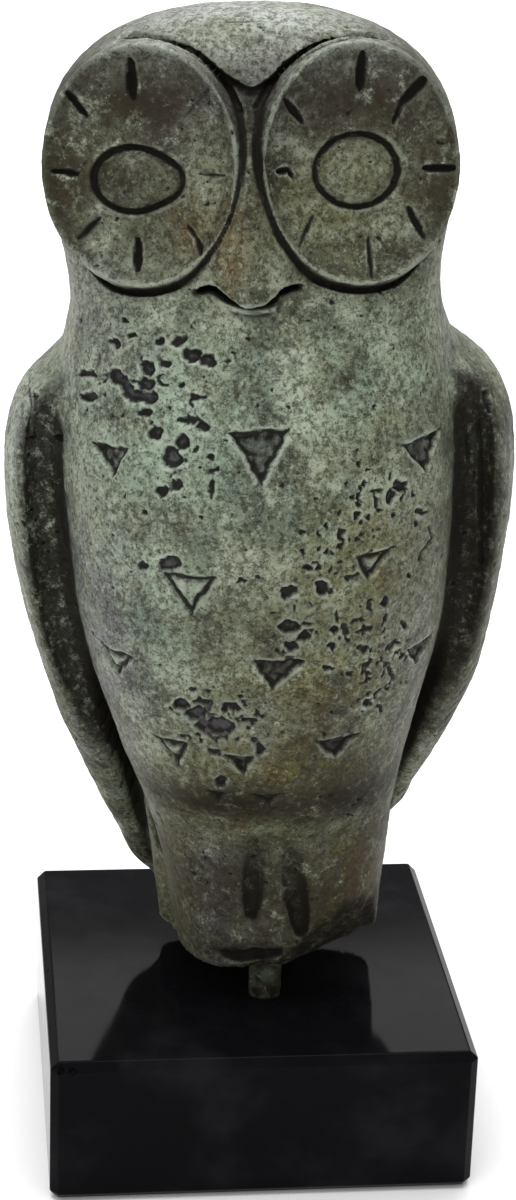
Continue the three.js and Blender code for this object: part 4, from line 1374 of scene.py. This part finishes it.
@dataclass(frozen=True)
class CastingGrain:
    """The slightly rough skin that a mould of clay and wax leaves, as a node tree."""

    # Cast grain is 0.1 to 0.5 mm across, too fine to show, so it is drawn this coarse, in mm
    size: float = 1.3
    depth: float = 0.07
    seed: float = 4.0

    def tree(self) -> bpy.types.NodeTree:
        """Builds the tree that roughens a surface along its normals."""
        tree = bpy.data.node_groups.new("casting_grain", "GeometryNodeTree")
        face = tree.interface
        face.new_socket("Skin", in_out="INPUT", socket_type="NodeSocketGeometry")
        for name in ("Grain size", "Grain depth", "Seed"):
            face.new_socket(name, in_out="INPUT", socket_type="NodeSocketFloat")
        face.new_socket("Finish", in_out="INPUT", socket_type="NodeSocketMaterial")
        face.new_socket("Skin", in_out="OUTPUT", socket_type="NodeSocketGeometry")
        given = add_node(tree, "NodeGroupInput").outputs
        place = add_node(tree, "GeometryNodeInputPosition").outputs[0]
        normal = add_node(tree, "GeometryNodeInputNormal").outputs[0]
        scale = add_node(tree, "ShaderNodeMath", {"operation": "DIVIDE"}, {0: 1.0, 1: given["Grain size"]})
        noise = add_node(
            tree,
            "ShaderNodeTexNoise",
            {"noise_dimensions": "4D"},
            {"Vector": place, "W": given["Seed"], "Scale": scale.outputs[0], "Detail": 2.0},
        )
        middle = add_node(tree, "ShaderNodeMath", {"operation": "SUBTRACT"}, {0: noise.outputs[0], 1: 0.5})
        height = add_node(
            tree, "ShaderNodeMath", {"operation": "MULTIPLY"}, {0: middle.outputs[0], 1: given["Grain depth"]}
        )
        move = add_node(
            tree, "ShaderNodeVectorMath", {"operation": "SCALE"}, {0: normal, "Scale": height.outputs[0]}
        )
        moved = add_node(
            tree, "GeometryNodeSetPosition", None, {"Geometry": given["Skin"], "Offset": move.outputs[0]}
        )
        real = add_node(tree, "GeometryNodeRealizeInstances", None, {0: moved.outputs[0]})
        dressed = add_node(
            tree, "GeometryNodeSetMaterial", None, {"Geometry": real.outputs[0], "Material": given["Finish"]}
        )
        add_node(tree, "NodeGroupOutput", None, {0: dressed.outputs[0]})
        return tree

    def work(self, piece: bpy.types.Object, material: bpy.types.Material) -> None:
        """Roughens a piece and dresses it.

        Args:
            piece: The piece whose mesh is roughened.
            material: What it is dressed in.
        """
        modifier = piece.modifiers.new("grain", "NODES")
        modifier.node_group = self.tree()
        values = {
            "Grain size": self.size * MM,
            "Grain depth": self.depth * MM * 2,
            "Seed": self.seed,
            "Finish": material,
        }
        for item in modifier.node_group.interface.items_tree:
            if item.in_out == "INPUT" and item.name in values:
                modifier[item.identifier] = values[item.name]
        apply_modifiers(piece)


@dataclass(frozen=True)
class Tint:
    """A patch of colour on the patina, some of them painted light and shade: where its middle is and how far
    it reaches, in the owl's frame.
    """

    name: str
    place: tuple[float, float]
    reach: tuple[float, float]
    amount: float = 1.0


@dataclass
class OwlFigure:
    """The cast owl: its form wrapped in a skin, carved, corroded, roughened and patinated, with painted shade
    in its hollows and painted light on its crown and rims.
    """

    node: str = "owl_figure"
    slot: str = "owl_bronze"
    step: float = 0.62
    triangles: int = 194000
    # Below this height the patches of colour fade towards the back
    chest: float = 60.0
    tints: tuple[Tint, ...] = (
        Tint("mint", (-12, 84), (13, 13), 0.9),
        Tint("mint", (4, 92), (20, 7), 0.5),
        Tint("mint", (-14, 62), (10, 16), 0.6),
        Tint("mint", (10, 74), (14, 8), 0.4),
        Tint("olive", (13, 66), (9, 12), 0.7),
        Tint("olive", (8, 50), (14, 10), 0.6),
        Tint("olive", (4, 36), (16, 8), 0.7),
        Tint("olive", (-13, 12), (4, 14), 1.0),
        Tint("olive", (-6, 27), (10, 6), 0.9),
        Tint("olive", (10, 112), (8, 7), 0.5),
        Tint("olive", (10, 14), (5, 10), 1.0),
        Tint("ochre", (-8, 110), (3, 4), 0.6),
        Tint("ochre", (-3, 108), (2, 6), 0.6),
        Tint("ochre", (-27, 95), (4, 4), 0.6),
        Tint("ochre", (13, 12), (4, 8), 0.6),
        Tint("lilac", (0, 127), (26, 5), 0.5),
        Tint("lilac", (-22, 50), (6, 26), 0.6),
        Tint("lilac", (-7, 12), (5, 12), 0.7),
        Tint("lilac", (22, 44), (6, 22), 0.4),
        # Paler patina and painted light: over the crown's top, on the left shoulder and along the left wing's
        # edge
        Tint("bleached", (0, 136), (40, 6), 1.0),
        Tint("bleached", (-22, 99), (8, 7), 0.6),
        Tint("bleached", (-33, 76), (4, 18), 0.6),
        Tint("mint", (14, 88), (10, 6), 0.7),
        # Darker patina and painted shade: on the discs, under the belly, on the legs and low on the sides
        Tint("umber_and_shade", (-15, 125), (15, 8), 0.98),
        Tint("umber_and_shade", (-24, 116), (8, 13), 0.98),
        Tint("umber_and_shade", (-14, 112), (12, 10), 0.62),
        Tint("umber_and_shade", (15, 125), (14, 8), 0.96),
        Tint("umber_and_shade", (24, 114), (7, 12), 0.9),
        Tint("umber_and_shade", (4, 113), (26, 12), 0.42),
        Tint("umber_and_shade", (2, 12), (30, 15), 0.9),
        Tint("umber_and_shade", (-4, 30), (19, 6), 1.0),
        Tint("umber_and_shade", (10, 30), (16, 7), 1.0),
        Tint("umber_and_shade", (4, 42), (20, 10), 0.6),
        Tint("umber_and_shade", (0, 57), (16, 9), 0.4),
        Tint("umber_and_shade", (16, 62), (13, 11), 0.4),
        Tint("umber_and_shade", (31, 40), (9, 44), 0.85),
        Tint("umber_and_shade", (-30, 20), (8, 24), 0.7),
        # Painted shade under the belly, under the feet, low on the left wing and in the hollow between the
        # discs
        Tint("painted_shade", (-4, 29), (17, 4), 0.75),
        Tint("painted_shade", (12, 28), (8, 5), 0.8),
        Tint("painted_shade", (1, 3), (20, 4), 0.6),
        Tint("painted_shade", (15, 5), (8, 6), 0.85),
        Tint("painted_shade", (-28, 18), (8, 20), 0.7),
        Tint("painted_shade", (0, 124), (2.5, 6), 0.7),
        Tint("painted_shade", (4, 14), (24, 16), 0.3),
    )

    def build(self, camera: Photograph, stance: Stance) -> bpy.types.Object:
        """Makes the owl.

        Args:
            camera: The photograph's camera.
            stance: The owl's place on the block.

        Returns:
            The finished piece.
        """
        form = OwlForm()
        step = self.step * 1
        skin = Skin(form, (-39, -33, -3), (39, 25, 138), step)
        skin.split()
        normals = skin.relax(3)
        LOG.info("skin: %d points", len(skin.points))
        relief = Relief(camera, stance, form)
        relief.measure(skin.points, normals)
        depth, pitted, marked = relief.shape()
        # How shut in each point is, painted later as shade and dirt in the hollows
        recess = self.recess(form, skin.points, normals)
        points = skin.points - normals * depth[:, None]
        average = skin.neighbours()
        calm = points
        for _ in range(3):
            calm = average(calm)
        rub = ((points - calm) * normals).sum(axis=1)
        piece = new_piece(self.node + "_skin", stance.place(points), skin.faces)
        values = {
            # Carved marks darken as painted shade in their cuts, both with the hollows and with the pit
            # floors' colour
            "recess": np.clip(recess + 0.5 * marked, 0, 1),
            "pit": np.clip(pitted + marked * 0.8, 0, 1),
            "rub": np.clip(0.5 + rub / 0.35, 0, 1),
        }
        # Painted shade in the coves beside the wings, on the broken faces under the feet and in the leg
        # grooves
        cove = np.exp(-((np.maximum(form.cove_groove(skin.points), 0) / 1.6) ** 2)) * 0.95
        break_face = np.exp(-((np.maximum(form.broken(skin.points), 0) / 0.5) ** 2))
        groove = np.exp(-((np.maximum(form.leg_grooves(skin.points), 0) / 0.7) ** 2))
        values["painted_shade"] = np.maximum(np.maximum(cove, break_face), groove * 0.8)
        for disc in form.discs:
            across, up, out = disc.local(skin.points)
            gap = (disc.radius(across, up) - disc.crest) * disc.half_width
            # A thin painted highlight on each disc's rim crest, along with the rim's wear, and a painted
            # shadow band just inside the crest
            near = (np.abs(out) < 1.2).astype(float)
            values["rub"] = np.maximum(values["rub"], near * 0.95 * np.exp(-((gap / 0.3) ** 2)))
            rim_shadow = near * 0.5 * np.exp(-(((gap + 1.5) / 0.8) ** 2))
            values["painted_shade"] = np.maximum(values["painted_shade"], rim_shadow)
        worn = 0.3 + 0.7 * smooth_step(-skin.points[:, 1], -8, 6)
        for tint in self.tints:
            away = ((skin.points[:, 0] - tint.place[0]) / tint.reach[0]) ** 2
            away += ((skin.points[:, 2] - tint.place[1]) / tint.reach[1]) ** 2
            share = tint.amount * np.exp(-away) * (worn if tint.place[1] < self.chest else 1)
            values[tint.name] = np.maximum(values.get(tint.name, 0), share)
        for name, value in values.items():
            layer = piece.data.attributes.new(name, "FLOAT", "POINT")
            layer.data.foreach_set("value", value.astype(np.float32))
        piece.data.shade_smooth()
        CastingGrain().work(piece, VerdigrisBronze().build())
        thin = piece.modifiers.new("thin", "DECIMATE")
        thin.ratio = min(1.0, self.triangles / (2 * len(skin.faces)))
        apply_modifiers(piece)
        piece.data.shade_smooth()
        declare(piece, self.node, self.slot)
        return piece

    @staticmethod
    def recess(form: OwlForm, points: Array, normals: Array) -> Array:
        """How shut in each point is, 0 in the open and 1 deep in a groove."""
        total = np.zeros(len(points))
        for reach, weight in ((0.8, 0.4), (2.0, 0.35), (5.0, 0.25)):
            total += weight * np.clip(1 - form.distance(points + normals * reach) / reach, 0, 1)
        return total


@dataclass
class MountingPin:
    """The short pin that holds the owl above the block."""

    node: str = "mounting_pin"
    slot: str = "pin_bronze"
    sides: int = 64
    rings: int = 24
    bury: float = 0.9

    def build(self) -> bpy.types.Object:
        """Makes the pin, slightly worn and dented."""
        low, high = (np.array(corner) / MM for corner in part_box(self.node))
        centre, radius = (low + high) / 2, (high - low)[0] / 2
        heights = np.linspace(low[2] - 0.3, high[2] + self.bury, self.rings)
        angles = np.arange(self.sides) * 2 * math.pi / self.sides
        grain = Grain(21)
        rows = []
        for height in heights:
            ring = np.stack([np.cos(angles), np.sin(angles), np.zeros(self.sides)], axis=1)
            spots = ring * radius + [centre[0], centre[1], height]
            foot = 0.08 * math.exp(-(((height - low[2]) / 0.5) ** 2))
            worn = radius * 0.97 + 0.07 * grain.at(spots, 1.6) - foot
            rows.append(ring * worn[:, None] + [centre[0], centre[1], height])
        points = np.concatenate(rows)
        faces = [list(range(self.sides))[::-1]]
        for row in range(self.rings - 1):
            for side in range(self.sides):
                after = (side + 1) % self.sides
                base = row * self.sides
                faces.append([base + side, base + after, base + self.sides + after, base + self.sides + side])
        faces.append(list(range((self.rings - 1) * self.sides, self.rings * self.sides)))
        piece = new_piece(self.node + "_turned", points, faces)
        piece.data.materials.append(TarnishedBronze().build())
        piece.data.shade_smooth()
        declare(piece, self.node, self.slot)
        return piece


@dataclass
class MarbleBlock:
    """The square block, its edges taken off and chipped by use."""

    node: str = "plinth"
    slot: str = "black_marble"
    chamfer: float = 1.2
    chips: int = 16

    def build(self) -> bpy.types.Object:
        """Makes the block."""
        low, high = (np.array(corner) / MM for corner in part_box(self.node))
        corners = [[x, y, z] for x in (low[0], high[0]) for y in (low[1], high[1]) for z in (low[2], high[2])]
        faces = [[0, 1, 3, 2], [4, 6, 7, 5], [0, 4, 5, 1], [2, 3, 7, 6], [0, 2, 6, 4], [1, 5, 7, 3]]
        piece = new_piece(self.node + "_block", np.array(corners), faces)
        bevel = piece.modifiers.new("chamfer", "BEVEL")
        bevel.width = self.chamfer * MM
        bevel.segments = 1
        soften = piece.modifiers.new("arris", "BEVEL")
        soften.width = 0.16 * MM
        soften.segments = 2
        soften.limit_method = "ANGLE"
        soften.angle_limit = math.radians(20)
        apply_modifiers(piece)
        cutter = self.chip_tool(low, high)
        boolean = piece.modifiers.new("chips", "BOOLEAN")
        boolean.operation = "DIFFERENCE"
        boolean.object = cutter
        boolean.solver = "EXACT"
        apply_modifiers(piece)
        bpy.data.objects.remove(cutter)
        cut_into_triangles(piece)
        piece.data.materials.clear()
        piece.data.materials.append(PolishedMarble().build())
        piece.data.shade_flat()
        declare(piece, self.node, self.slot)
        return piece

    def chip_tool(self, low: Array, high: Array) -> bpy.types.Object:
        """Makes the rough lumps that are chipped out of the block's upper edges.

        Args:
            low: The block's lowest corner in mm.
            high: Its highest corner.

        Returns:
            An object with all the lumps.
        """
        draw = np.random.default_rng(8)
        grain = Grain(9)
        spots = [
            (low[0] + 1.2, low[1] + 0.2, high[2] - 0.7, 0.8),
            (low[0] + 3.1, low[1] + 0.1, high[2] - 1.0, 0.6),
        ]
        for _ in range(self.chips):
            x, y = draw.uniform(low[0] + 2, high[0] - 2), draw.uniform(low[1] + 2, high[1] - 2)
            wall = draw.integers(4)
            edge = [(x, low[1] + 0.3), (x, high[1] - 0.3), (low[0] + 0.3, y), (high[0] - 0.3, y)][wall]
            spots.append((*edge, high[2] - 0.3, draw.uniform(0.25, 0.5)))
        builder = bmesh.new()
        for x, y, z, size in spots:
            lump = bmesh.ops.create_icosphere(builder, subdivisions=3, radius=1.0)["verts"]
            around = np.array([vert.co for vert in lump])
            bulge = size * (1 + 0.35 * grain.at(around * 2 + [x, y, z], 1.1))
            for vert, direction, reach in zip(lump, around, bulge):
                vert.co = Vector((direction * reach + [x, y, z]) * MM)
        mesh = bpy.data.meshes.new("chip_tool")
        builder.to_mesh(mesh)
        builder.free()
        tool = bpy.data.objects.new("chip_tool", mesh)
        bpy.context.scene.collection.objects.link(tool)
        return tool


@dataclass
class Studio:
    """A plain pale floor under large soft lights."""

    floor_half: float = 2.0
    world: float = 0.5

    def build(self) -> None:
        """Makes floor and lights."""
        mesh = bpy.data.meshes.new("floor")
        half = self.floor_half
        corners = [(-half, -half, 0), (half, -half, 0), (half, half, 0), (-half, half, 0)]
        mesh.from_pydata(corners, [], [(0, 1, 2, 3)])
        floor = bpy.data.objects.new("floor", mesh)
        bpy.context.scene.collection.objects.link(floor)
        finish = Finish("pale_paper")
        colour = finish.mix(finish.noise(40.0), "#F4F4F3", "#EFEFEE")
        mesh.materials.append(finish.close({"Base Color": colour, "Roughness": 0.9}))
        world = bpy.data.worlds.new("studio")
        world.use_nodes = True
        world.node_tree.nodes["Background"].inputs[0].default_value = linear("#FBFCFF")
        world.node_tree.nodes["Background"].inputs[1].default_value = self.world
        bpy.context.scene.world = world
        self.lamp("overhead", (-0.05, 0.0, 0.95), (0, 0.0, 0), 0.8, 8.0)
        self.lamp("backdrop", (0.1, 1.0, 0.9), (0.1, 1.0, 0), 1.2, 14.0)
        self.lamp("front", (-0.3, -0.6, 0.55), (0, 0, 0.1), 0.5, 1.5)
        bpy.context.scene.view_settings.view_transform = "Standard"

    @staticmethod
    def lamp(name: str, place: Point, aim: Point, size: float, power: float) -> None:
        """Adds one square soft light.

        Args:
            name: Its name.
            place: Where it stands, in metres.
            aim: The point it shines at.
            size: Its width in metres.
            power: Its power in watts.
        """
        light = bpy.data.lights.new(name, "AREA")
        light.size = size
        light.energy = power
        holder = bpy.data.objects.new(name, light)
        holder.location = place
        holder.rotation_euler = (Vector(aim) - Vector(place)).to_track_quat("-Z", "Y").to_euler()
        bpy.context.scene.collection.objects.link(holder)


def main() -> None:
    """Builds the scene."""
    logging.basicConfig(level=logging.INFO, format="%(message)s")
    camera, stance = Photograph(), Stance()
    camera.build()
    Studio().build()
    MarbleBlock().build()
    MountingPin().build()
    OwlFigure().build(camera, stance)


if __name__ == "__main__":
    main()
